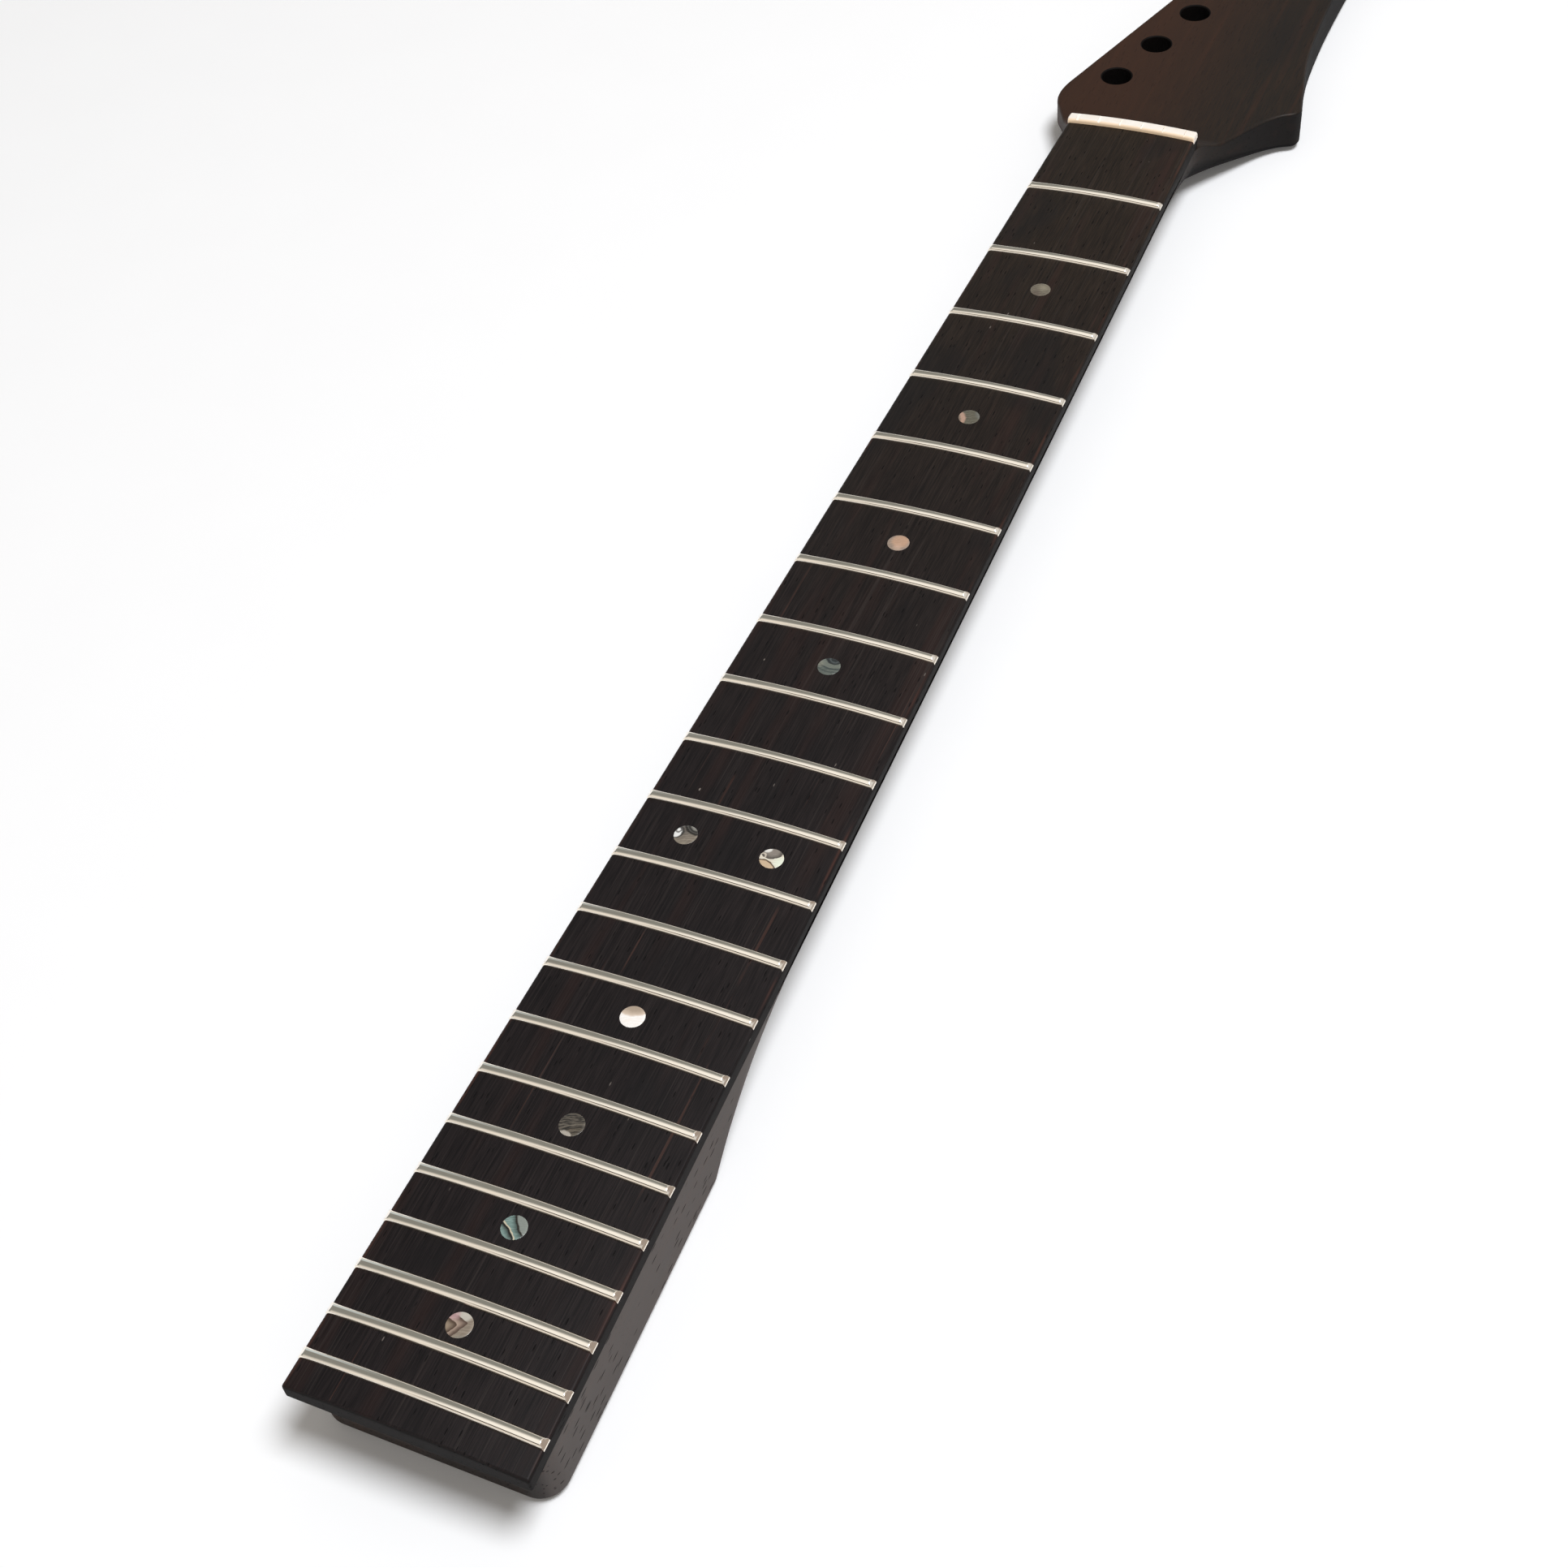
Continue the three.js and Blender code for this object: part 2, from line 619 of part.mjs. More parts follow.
addPiece('neck', neckGeometry(), darkWood);
addPiece('fingerboard', boardGeometry(), boardWood);
addPiece('nut', nutGeometry(), bone);
for (const n of span(1, fretCount, fretCount - 1)) {
  addPiece(`fret_${numbered(n)}`, fretGeometry(n), nickelSilver);
}
for (const space of markerSpaces) {
  const ending = numbered(space.fret) + markerSuffix(space);
  addPiece(`marker_${ending}`, markerPlug(space, 0, 0), shell);
  addPiece(`side_marker_${ending}`, sideMarkerPlug(space, 0, 0), shell);
}
const barStart = [-rodBlockWidth / 2, heelBlockY, barBottomZ];
const barEnd = [rodBlockWidth / 2, rodEndY - rodPastBlock, barTopZ];
addPiece('truss_rod_bar', block(barStart, barEnd), steel);
addPiece('truss_rod_heel_block', rodBlockGeometry(heelBlockY), brass);
addPiece('truss_rod_nut_block', rodBlockGeometry(nutBlockY), brass);
const threadedRod = rodAlong(rodDiameter / 2, adjusterInnerY + fit, rodEndY, rodAxisZ, roundFacets);
addPiece('truss_rod_threaded', threadedRod, steel);
addPiece('truss_rod_adjusting_nut', adjusterGeometry(), blackSteel);

export default guitarNeck;
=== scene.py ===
import math

import bmesh
import bpy
from mathutils import Matrix, Vector


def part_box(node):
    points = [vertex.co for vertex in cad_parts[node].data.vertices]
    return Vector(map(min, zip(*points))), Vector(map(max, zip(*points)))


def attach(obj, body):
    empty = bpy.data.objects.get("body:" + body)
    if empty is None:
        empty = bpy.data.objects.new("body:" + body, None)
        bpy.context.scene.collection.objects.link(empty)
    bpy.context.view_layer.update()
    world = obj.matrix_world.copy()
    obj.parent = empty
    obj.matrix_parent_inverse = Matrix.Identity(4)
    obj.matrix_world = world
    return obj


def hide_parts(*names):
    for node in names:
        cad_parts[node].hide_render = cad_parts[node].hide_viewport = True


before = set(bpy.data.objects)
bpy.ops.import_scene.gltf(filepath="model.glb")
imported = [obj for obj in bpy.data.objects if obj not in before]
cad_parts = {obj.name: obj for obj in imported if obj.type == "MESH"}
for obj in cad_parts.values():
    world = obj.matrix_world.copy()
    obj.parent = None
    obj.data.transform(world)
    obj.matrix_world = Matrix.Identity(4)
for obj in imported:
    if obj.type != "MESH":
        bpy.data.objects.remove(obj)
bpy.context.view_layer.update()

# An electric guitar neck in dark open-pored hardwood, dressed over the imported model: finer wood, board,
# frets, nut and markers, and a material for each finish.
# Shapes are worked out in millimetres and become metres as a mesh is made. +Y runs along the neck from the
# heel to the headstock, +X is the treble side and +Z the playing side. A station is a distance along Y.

MM = 0.001

# Sizes of the neck's wood
HEEL_CORNER = 6.5
HEEL_EDGE = 2.2
HEEL_SWEEP = 64
HEEL_SWEEP_POWER = 2.5
THICKNESS_AT_FIRST_FRET = 20.5
THICKNESS_AT_TWELFTH_FRET = 22
BACK_FLAT = 5
SIDE_DEPTH = 1.8
HEADSTOCK_DROP = 8.5
HEADSTOCK_THICKNESS = 13.5
BACK_EDGE = 2
FACE_EDGE = 0.9
FACE_EDGE_FADE = 7
RAMP = 9
NECK_SWEEP_BEFORE = 25
NECK_SWEEP_AFTER = 42
INWARD_FADE = 20
HORN_STATION = 37.5
HORN_CORNER = 3
TIP_WIDTH = 16
TIP_RISE = 8
TIP_TREBLE_RISE = 18

# Outline of the headstock, as shares. Across, a share runs from the nut's end to the reach of the horn or of
# the bass corner; along, it runs from the nut to their station.
HORN_FLARE = [(0.03, 0.11), (0.33, 0.45), (0.6, 0.745), (0.79, 0.885), (0.9, 0.93)]
BASS_FLARE = [(0.09, 0.13), (0.31, 0.36), (0.52, 0.56), (0.77, 0.8)]
# Along the treble side the shares are of the horn's reach and of the headstock's length.
WAIST = [(0.942, 0.283), (0.896, 0.337), (0.866, 0.391), (0.848, 0.462), (0.84, 0.56),
         (0.852, 0.707), (0.883, 0.815)]
BASS_CORNER_STATION = 0.147
BASS_CORNER_END = 0.195
TIP_TREBLE = 0.913

# Tuner holes
TUNERS = 6
TUNER_HOLE = 10
TUNER_SPACING = 23.3
FIRST_TUNER_X = -17.8
FIRST_TUNER_STATION = 42
TUNER_LINE = math.radians(17.2)
TUNER_TO_EDGE = 11.7
HOLE_CHAMFER = 0.35

# Fingerboard, frets, nut and markers
BOARD_RADIUS = 305
BOARD_EDGE = 0.8
BOARD_CORNER = 0.6
NUT_SEAT_DEPTH = 1.8
CROWN_WIDTH = 2.7
CROWN_HEIGHT = 1.25
CROWN_STEPS = 11
CROWN_END_HEIGHT = 0.15
FRET_BEVEL = 1.1
FRET_ARRIS = 0.045
FRET_SUNK = 0.15
NUT_ROUND = 1.84
NUT_ARRIS = 0.45
STRING_GAUGES = [1.2, 0.95, 0.7, 0.45, 0.35, 0.3]
STRING_SLOT_DEPTH = 0.5
OUTER_STRING_INSET = 3.3
MARKER_PROUD = 0.03
MARKER_RIM = 0.06

# Adjusting nut of the truss rod and the channels in the wood
ADJUSTER_CHAMFER = 0.4
ADJUSTER_CLEARANCE = 0.5
SOCKET_ACROSS_FLATS = 5
SOCKET_DEPTH = 6
MOUTH_RIM = 0.2
MOUTH_DEPTH = 0.7
CHANNEL_END_BEFORE_NUT = 8

# Making: a small clearance, how far a cutter runs past a face, how near points are joined, and the turn in
# degrees from which an edge is crisp
FIT = 0.05
OVERRUN = 2
WELD = 0.0005
CREASE = 32


def box(node):
    """Lowest and highest corner of a node of the frame, in millimetres."""
    return [corner / MM for corner in map(Vector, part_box(node))]


# Places read from the frame
neck_low, neck_high = box("neck")
board_low, board_high = box("fingerboard")
nut_low, nut_high = box("nut")
FRET_NAMES = sorted(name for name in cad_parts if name.startswith("fret_"))
fret_boxes = {name: box(name) for name in FRET_NAMES}
fret_stations = {name: (low.y + high.y) / 2 for name, (low, high) in fret_boxes.items()}
FRETS_PER_OCTAVE = 12
FIRST_FRET_Y = fret_stations[FRET_NAMES[0]]
TWELFTH_FRET_Y = fret_stations[FRET_NAMES[FRETS_PER_OCTAVE - 1]]
LAST_FRET_Y = fret_stations[FRET_NAMES[-1]]
LAST_FRET_HALF = fret_boxes[FRET_NAMES[-1]][1].x

# The frame's origin lies in the middle of the heel's length
HEEL_END_Y = neck_low.y
HEEL_FRONT_Y = -HEEL_END_Y
TIP_Y = neck_high.y
HORN_REACH = neck_high.x
GLUE_Z = board_low.z
CROWN_Z = board_high.z
BOARD_END_Y = board_low.y
NUT_BACK_Y = board_high.y
NUT_Y = nut_low.y - FIT
NUT_HALF = nut_high.x
NUT_SEAT_Z = CROWN_Z - NUT_SEAT_DEPTH
NUT_TOP = nut_high.z - CROWN_Z
FACE_Z = CROWN_Z - HEADSTOCK_DROP
HEADSTOCK_BACK_Z = FACE_Z - HEADSTOCK_THICKNESS
HEADSTOCK_LENGTH = TIP_Y - NUT_Y


# Plain maths

def mix(a, b, share):
    return a + (b - a) * share


def clamped(share):
    return min(1, max(0, share))


def smooth(share):
    share = clamped(share)
    return share * share * (3 - 2 * share)


def span(start, end, steps):
    """Evenly spaced values from one end to the other, both included."""
    return [mix(start, end, k / steps) for k in range(steps + 1)]


def corner_inset(distance, radius):
    """How far a rounded corner of this radius draws in, at a distance from the corner's end."""
    to_centre = max(0, radius - distance)
    return radius - math.sqrt(max(0, radius * radius - to_centre * to_centre))


def corner_stations(start, radius, steps):
    """Stations round such a corner, closer together where it turns faster."""
    return [start + radius * (1 - math.cos(angle)) for angle in span(0, math.pi / 2, steps)]


def in_order(stations):
    """Stations in order along the neck, without those that nearly fall together."""
    kept = []
    for station in sorted(stations):
        if not kept or station - kept[-1] > FIT:
            kept.append(station)
    return kept


# The lines of the neck

def half_width(y):
    """Half of the board's width, which tapers from the last fret to the nut."""
    return mix(NUT_HALF, LAST_FRET_HALF, (NUT_Y - y) / (NUT_Y - LAST_FRET_Y))


def crown_height(x):
    return CROWN_Z - (BOARD_RADIUS - math.sqrt(BOARD_RADIUS * BOARD_RADIUS - x * x))


def shaft_thickness(y):
    growth = (THICKNESS_AT_TWELFTH_FRET - THICKNESS_AT_FIRST_FRET) / (FIRST_FRET_Y - TWELFTH_FRET_Y)
    return THICKNESS_AT_FIRST_FRET + growth * (FIRST_FRET_Y - y)


def shaft_share(y):
    """0 on the heel, 1 on the shaft."""
    return 1 - (1 - clamped((y - HEEL_FRONT_Y) / HEEL_SWEEP)) ** HEEL_SWEEP_POWER


def headstock_share(y):
    """0 on the shaft, 1 on the headstock."""
    return smooth((y - NUT_Y + NECK_SWEEP_BEFORE) / (NECK_SWEEP_BEFORE + NECK_SWEEP_AFTER))


def back_height(y):
    shaft_back = mix(0, CROWN_Z - shaft_thickness(y), shaft_share(y))
    return mix(shaft_back, HEADSTOCK_BACK_Z, headstock_share(y))


def back_corner(y, half):
    """Reach across and upward of the back's rounded side corner."""
    depth = CROWN_Z - back_height(y)
    across = mix(HEEL_EDGE, half - BACK_FLAT / 2, shaft_share(y))
    upward = mix(HEEL_EDGE, depth - SIDE_DEPTH, shaft_share(y))
    share = headstock_share(y)
    return mix(across, BACK_EDGE, share), mix(upward, BACK_EDGE, share)


def corner_reach(y, half, z):
    """How far the side has drawn in at a height, where the back's corner begins above it."""
    across, upward = back_corner(y, half)
    below = clamped((back_height(y) + upward - z) / upward)
    return across * (1 - math.sqrt(1 - below * below))


def neck_top(y):
    """The glue joint as far as the nut's back, a short ramp and the headstock's face."""
    return mix(GLUE_Z, FACE_Z, smooth((y - NUT_BACK_Y) / RAMP))


# Outline of the neck seen from the front

def spline(points, steps):
    """A smooth line through points, which keeps their order along it."""
    line = [points[0]]
    last = len(points) - 1
    for k in range(last):
        before, a, b, after = (points[min(last, max(0, k + shift))] for shift in (-1, 0, 1, 2))
        start_pull, end_pull = (b - before) / 2, (after - a) / 2
        for t in span(0, 1, steps)[1:]:
            line.append((2 * a - 2 * b + start_pull + end_pull) * t ** 3
                        + (3 * b - 3 * a - 2 * start_pull - end_pull) * t ** 2 + start_pull * t + a)
    return line


def bend(start, pull, end, steps):
    """A curve from start to end that leaves and arrives in line with the pull."""
    return [start.lerp(pull, t).lerp(pull.lerp(end, t), t) for t in span(0, 1, steps)]


def bass_edge_x(station):
    """The straight bass edge of the headstock, parallel to the line of the tuners."""
    along_line = FIRST_TUNER_X + (station - FIRST_TUNER_STATION) * math.tan(TUNER_LINE)
    return along_line - TUNER_TO_EDGE / math.cos(TUNER_LINE)


def flare(shares, side, reach, station):
    places = [(0, 0)] + shares
    return [Vector((side * mix(NUT_HALF, reach, across), station * along)) for across, along in places]


def treble_headstock():
    """A flare, the horn's corner, a long hollow waist and the tip."""
    line = spline(flare(HORN_FLARE, 1, HORN_REACH, HORN_STATION), 8)
    corner_start = Vector((HORN_REACH, HORN_STATION - HORN_CORNER / 2))
    corner_end = Vector((HORN_REACH, HORN_STATION + HORN_CORNER / 2))
    line += bend(line[-1], corner_start, corner_end, 14)[1:]
    waist = [Vector((HORN_REACH * across, HEADSTOCK_LENGTH * along)) for across, along in WAIST]
    line += spline([line[-1]] + waist, 8)[1:]
    shoulder = Vector((HORN_REACH * TIP_TREBLE, HEADSTOCK_LENGTH - TIP_TREBLE_RISE))
    tip_x = bass_edge_x(HEADSTOCK_LENGTH - TIP_RISE) + TIP_RISE + TIP_WIDTH
    line += span(line[-1], shoulder, 6)[1:]
    line += bend(shoulder, Vector((shoulder.x, HEADSTOCK_LENGTH)), Vector((tip_x, HEADSTOCK_LENGTH)), 24)[1:]
    return line


def bass_headstock():
    """A flare, a rounded corner, the straight edge beside the tuners and the tip."""
    corner_station = HEADSTOCK_LENGTH * BASS_CORNER_STATION
    straight_start = HEADSTOCK_LENGTH * BASS_CORNER_END
    straight_end = HEADSTOCK_LENGTH - TIP_RISE

    def edge(station):
        return Vector((bass_edge_x(station), station))

    line = spline(flare(BASS_FLARE, -1, -bass_edge_x(corner_station), corner_station), 8)
    line += bend(line[-1], edge(corner_station), edge(straight_start), 14)[1:]
    line += span(line[-1], edge(straight_end), 6)[1:]
    pull = Vector((bass_edge_x(HEADSTOCK_LENGTH - TIP_RISE / 2), HEADSTOCK_LENGTH))
    tip = Vector((bass_edge_x(straight_end) + TIP_RISE, HEADSTOCK_LENGTH))
    return line + bend(line[-1], pull, tip, 24)[1:]


def heel_line(side):
    """The heel's rounded corner and the tapering side, as far as the nut."""
    stations = corner_stations(HEEL_END_Y, HEEL_CORNER, 24) + span(HEEL_END_Y + HEEL_CORNER, NUT_Y, 12)[1:]

    def point(y):
        return Vector((side * (half_width(y) - corner_inset(y - HEEL_END_Y, HEEL_CORNER)), y))

    return [point(y) for y in stations]


class Side:
    """One long edge of the neck's outline: where it lies and which way is inward, at any station."""

    def __init__(self, side, headstock):
        self.side = side
        self.line = heel_line(side) + [point + Vector((0, NUT_Y)) for point in headstock[1:]]
        ends = [self.line[0] - Vector((side, 0))] + self.line + [self.line[-1] - Vector((side, 0))]
        self.runs = [(after - before).normalized() for before, after in zip(ends, ends[2:])]

    def at(self, y):
        """The point of the edge at a station, and the direction inward from it."""
        k = next((k for k, point in enumerate(self.line) if point.y > y), len(self.line)) - 1
        k = min(max(k, 0), len(self.line) - 2)
        a, b = self.line[k], self.line[k + 1]
        share = clamped((y - a.y) / max(b.y - a.y, 1e-9))
        run = self.runs[k].lerp(self.runs[k + 1], share).normalized()
        return Vector((mix(a.x, b.x, share), y)), Vector((-run.y, run.x)) * self.side


SIDES = [Side(-1, bass_headstock()), Side(1, treble_headstock())]


# Meshes

def placed(name, data):
    """An object of this data, in the scene."""
    piece = bpy.data.objects.new(name, data)
    bpy.context.scene.collection.objects.link(piece)
    return piece


def skin(name, points, faces):
    """A piece from points in millimetres. Points that fall together are joined, so no face is left flat."""
    shape = bmesh.new()
    corners = [shape.verts.new(Vector(point) * MM) for point in points]
    for face in faces:
        shape.faces.new([corners[k] for k in face])
    bmesh.ops.remove_doubles(shape, verts=shape.verts, dist=WELD * MM)
    bmesh.ops.recalc_face_normals(shape, faces=shape.faces)
    mesh = bpy.data.meshes.new(name)
    shape.to_mesh(mesh)
    shape.free()
    mesh.shade_smooth()
    return placed(name, mesh)


def loft(name, rings):
    """A closed skin through rings of as many points. Each end is closed between its opposite points."""
    count = len(rings[0])
    faces = []
    for first in range(0, count * (len(rings) - 1), count):
        for k in range(count):
            a, b = first + k, first + (k + 1) % count
            faces.append((a, b, b + count, a + count))
    for first in (0, count * (len(rings) - 1)):
        for k in range(count // 2 - 1):
            a, b = first + k, first + count - 1 - k
            faces.append((a, a + 1, b - 1, b))
    return skin(name, [point for ring in rings for point in ring], faces)


def both(bass, treble):
    """A ring from two chains of points, each from the top's middle to the bottom's middle."""
    return bass + treble[::-1]


def turned(name, count, levels, point):
    """A round piece: a ring of some reach at each level, whose first and last points lie opposite."""
    angles = [2 * math.pi * (k + 0.5) / count for k in range(count)]
    return loft(name, [[point(level, reach * math.cos(angle), reach * math.sin(angle)) for angle in angles]
                       for level, reach in levels])


def settled(piece):
    """The piece with its modifiers worked into its mesh."""
    seen = piece.evaluated_get(bpy.context.evaluated_depsgraph_get())
    mesh = bpy.data.meshes.new_from_object(seen)
    piece.modifiers.clear()
    piece.data = mesh
    mesh.name = piece.name
    return piece


def cut(piece, tools):
    """Cuts each tool's shape out of a piece, and removes the tools."""
    for tool in tools:
        saw = piece.modifiers.new(tool.name, "BOOLEAN")
        saw.operation = "DIFFERENCE"
        saw.solver = "EXACT"
        saw.material_mode = "TRANSFER"
        saw.object = tool
    settled(piece)
    for tool in tools:
        bpy.data.objects.remove(tool)
    return piece


def finished(piece):
    """Smooth faces with crisp edges where they turn sharply."""
    piece.data.shade_smooth()
    piece.data.set_sharp_from_angle(angle=math.radians(CREASE))
    weight = piece.modifiers.new("weight", "WEIGHTED_NORMAL")
    weight.keep_sharp = True
    return settled(piece)


def dress(piece, material, slot, body, *nodes):
    """Gives a piece its material, unless it has its own, and its place in the frame."""
    if material:
        piece.data.materials.clear()
        piece.data.materials.append(material)
    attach(piece, body)
    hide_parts(*nodes)
    return piece


# The neck's wood

def neck_chain(side, y):
    """One side of the neck's section: the face's rolled edge, the side, and the back's round corner."""
    edge, inward = side.at(y)
    half = abs(edge.x)
    roll = FACE_EDGE * smooth((y - NUT_BACK_Y) / FACE_EDGE_FADE)
    chain = []
    for angle in span(math.pi / 2, 0, 6):
        place = edge + inward * FACE_EDGE * (1 - math.cos(angle))
        z = neck_top(place.y) - roll * (1 - math.sin(angle))
        if angle == 0:
            place = edge + inward * corner_reach(y, half, z)
        chain.append((place.x, place.y, z))
    across, upward = back_corner(y, half)
    corner_z = back_height(y) + upward
    share = 1 - shaft_share(y) if y < NUT_Y else smooth((y - NUT_Y) / INWARD_FADE)
    inward = Vector((-side.side, 0)).lerp(inward, share).normalized()
    top_z = chain[-1][2]
    if corner_z > top_z:
        angles = span(math.asin(min(1, (corner_z - top_z) / upward)), math.pi / 2, 14)[1:]
    else:
        angles = span(0, math.pi / 2, 13)
    for angle in angles:
        place = edge + inward * across * (1 - math.cos(angle))
        chain.append((place.x, place.y, corner_z - upward * math.sin(angle)))
    return chain


def neck_stations():
    horn = NUT_Y + HORN_STATION
    shoulder = TIP_Y - TIP_TREBLE_RISE
    return in_order([
        *corner_stations(HEEL_END_Y, HEEL_CORNER, 12),
        *span(HEEL_END_Y + HEEL_CORNER, HEEL_FRONT_Y, 8),
        *span(HEEL_FRONT_Y, HEEL_FRONT_Y + HEEL_SWEEP, 32),
        *span(HEEL_FRONT_Y + HEEL_SWEEP, NUT_Y - NECK_SWEEP_BEFORE, 30),
        *span(NUT_Y - NECK_SWEEP_BEFORE, NUT_Y, 16),
        *span(NUT_Y, NUT_BACK_Y, 5),
        *span(NUT_BACK_Y, NUT_BACK_Y + RAMP, 12),
        *span(NUT_BACK_Y + RAMP, horn - HORN_CORNER, 20),
        *span(horn - HORN_CORNER, horn + HORN_CORNER, 18),
        *span(horn + HORN_CORNER, shoulder, 44),
        *[-station for station in corner_stations(-TIP_Y, TIP_TREBLE_RISE, 22)],
    ])


def tuner_hole(k):
    """A round cutter, wider at both faces so that it leaves a small chamfer."""
    along = k * TUNER_SPACING
    x = FIRST_TUNER_X + along * math.sin(TUNER_LINE)
    y = NUT_Y + FIRST_TUNER_STATION + along * math.cos(TUNER_LINE)
    radius, wide = TUNER_HOLE / 2, TUNER_HOLE / 2 + HOLE_CHAMFER
    levels = [(HEADSTOCK_BACK_Z - OVERRUN, wide), (HEADSTOCK_BACK_Z, wide),
              (HEADSTOCK_BACK_Z + HOLE_CHAMFER, radius), (FACE_Z - HOLE_CHAMFER, radius),
              (FACE_Z, wide), (FACE_Z + OVERRUN, wide)]
    return turned("tuner_hole", 56, levels, lambda z, right, on: (x + right, y + on, z))


def trough(name, half, axis_z, round_bottom, start, end):
    """A cutter along the neck, open above the glue joint, with a flat or a round bottom."""
    top = GLUE_Z + OVERRUN

    def chain(side):
        walls = [(side * half, top), (side * half, axis_z)]
        bowl = span(0, math.pi / 2, 12)[1:-1] if round_bottom else []
        return walls + [(side * half * math.cos(a), axis_z - half * math.sin(a)) for a in bowl]

    return loft(name, [both([(x, y, z) for x, z in chain(-1)], [(x, y, z) for x, z in chain(1)])
                       for y in (start, end)])


block_low, block_high = box("truss_rod_heel_block")
adjuster_low, adjuster_high = box("truss_rod_adjusting_nut")
ROD_AXIS_Z = (adjuster_low.z + adjuster_high.z) / 2


def rod_channels():
    pocket = (adjuster_high.x - adjuster_low.x) / 2 + ADJUSTER_CLEARANCE
    pocket_end = (adjuster_high.y + block_low.y) / 2
    return [
        trough("pocket", pocket, ROD_AXIS_Z, True, HEEL_END_Y - OVERRUN, pocket_end),
        trough("channel", block_high.x + FIT, block_low.z - FIT, False, adjuster_high.y,
               NUT_Y - CHANNEL_END_BEFORE_NUT),
    ]


def make_neck(material, recess_shade):
    """The wood, with its holes and channels in a near-black finish that paints their shade."""
    rings = [both(*(neck_chain(side, y) for side in SIDES)) for y in neck_stations()]
    neck = loft("neck_wood", rings)
    neck.data.materials.append(material)
    tools = [tuner_hole(k) for k in range(TUNERS)] + rod_channels()
    for tool in tools:
        tool.data.materials.append(recess_shade)
    cut(neck, tools)
    return dress(finished(neck), None, "neck_wood", "neck", "neck")


# The fingerboard

def board_chain(side, y):
    """One side of the board's section: the crown, its rolled edge, the side and the flat glued face."""
    full = half_width(y)
    half = full - corner_inset(y - BOARD_END_Y, BOARD_CORNER)
    down = corner_inset(y - BOARD_END_Y, BOARD_EDGE)
    chain = [(side * x, y, crown_height(x) - down) for x in span(half - BOARD_EDGE, 0, 13)[-2::-1]]
    edge_z = crown_height(half - BOARD_EDGE) - down
    for angle in span(math.pi / 2, 0, 6)[1:]:
        x = half - BOARD_EDGE * (1 - math.cos(angle))
        chain.append((side * x, y, edge_z - BOARD_EDGE * (1 - math.sin(angle))))
    for z in span(edge_z - BOARD_EDGE, GLUE_Z, 5)[1:]:
        chain.append((side * (half - corner_reach(y, full, z)), y, z))
    return chain


def make_board(material):
    stations = in_order([
        *corner_stations(BOARD_END_Y, BOARD_EDGE, 7),
        *span(BOARD_END_Y + BOARD_EDGE, HEEL_FRONT_Y, 10),
        *span(HEEL_FRONT_Y, HEEL_FRONT_Y + HEEL_SWEEP, 32),
        *span(HEEL_FRONT_Y + HEEL_SWEEP, NUT_Y, 40),
        NUT_BACK_Y,
    ])
    board = loft("board", [both(board_chain(-1, y), board_chain(1, y)) for y in stations])
    wide, top = NUT_HALF + OVERRUN, CROWN_Z + OVERRUN
    seat = loft("seat", [[(-wide, y, top), (-wide, y, NUT_SEAT_Z), (wide, y, NUT_SEAT_Z), (wide, y, top)]
                         for y in (NUT_Y, NUT_BACK_Y + OVERRUN)])
    return dress(finished(cut(board, [seat])), material, "board_wood", "neck", "fingerboard")


# Frets

def fret_ring(station, x_at, shrink):
    """A fret's section. x_at gives the place across the board of a point at a height."""
    def chain(side):
        angles = [math.pi / 2 * (k + 0.5) / (CROWN_STEPS - 0.5) for k in range(CROWN_STEPS)]
        points = [(math.sin(angle) * CROWN_WIDTH / 2, CROWN_HEIGHT * math.cos(angle)) for angle in angles]
        line = []
        for along, rise in points + [(CROWN_WIDTH / 2, -FRET_SUNK)]:
            x = x_at(rise)
            low = max(0, rise - shrink) if rise > 0 else rise
            line.append((x, station + side * (along - shrink), crown_height(x) + low))
        return line

    return both(chain(-1), chain(1))


def make_fret(name, material):
    """A fret wire over the crown, with a flat bevel filed at each end and its arris eased."""
    half = fret_boxes[name][1].x
    slope = FRET_BEVEL / (CROWN_HEIGHT - CROWN_END_HEIGHT)

    def filed(side, back):
        return lambda rise: side * (half - back - slope * max(0, rise - CROWN_END_HEIGHT))

    station = fret_stations[name]
    ends = [(0, FRET_ARRIS), (FRET_ARRIS * 0.3, FRET_ARRIS * 0.3), (FRET_ARRIS, 0)]
    straight = half - FRET_BEVEL - 4 * FRET_ARRIS
    rings = [fret_ring(station, filed(-1, back), shrink) for back, shrink in ends]
    rings += [fret_ring(station, lambda rise, x=x: x, 0) for x in span(-straight, straight, 24)]
    rings += [fret_ring(station, filed(1, back), shrink) for back, shrink in ends[::-1]]
    return dress(finished(loft(name + "_wire", rings)), material, "fret_wire", "neck", name)


# The nut

def nut_ring(x, shrink):
    """The nut's section: a tight round towards the board, a wide one towards the headstock."""
    top = crown_height(x) + NUT_TOP - shrink
    front, back = NUT_Y + FIT + shrink, NUT_BACK_Y - shrink
    middle = mix(front + NUT_ROUND / 2, back - NUT_ROUND, 0.5)
    rounded = span(math.pi / 2, 0, 8)

    def chain(face, reach, side):
        points = [(x, face + side * (reach - reach * math.cos(angle)), top - reach * (1 - math.sin(angle)))
                  for angle in rounded]
        return [(x, (points[0][1] + middle) / 2, top)] + points + [(x, face, NUT_SEAT_Z + FIT)]

    return both(chain(front, NUT_ROUND / 2, 1), chain(back, NUT_ROUND, -1))


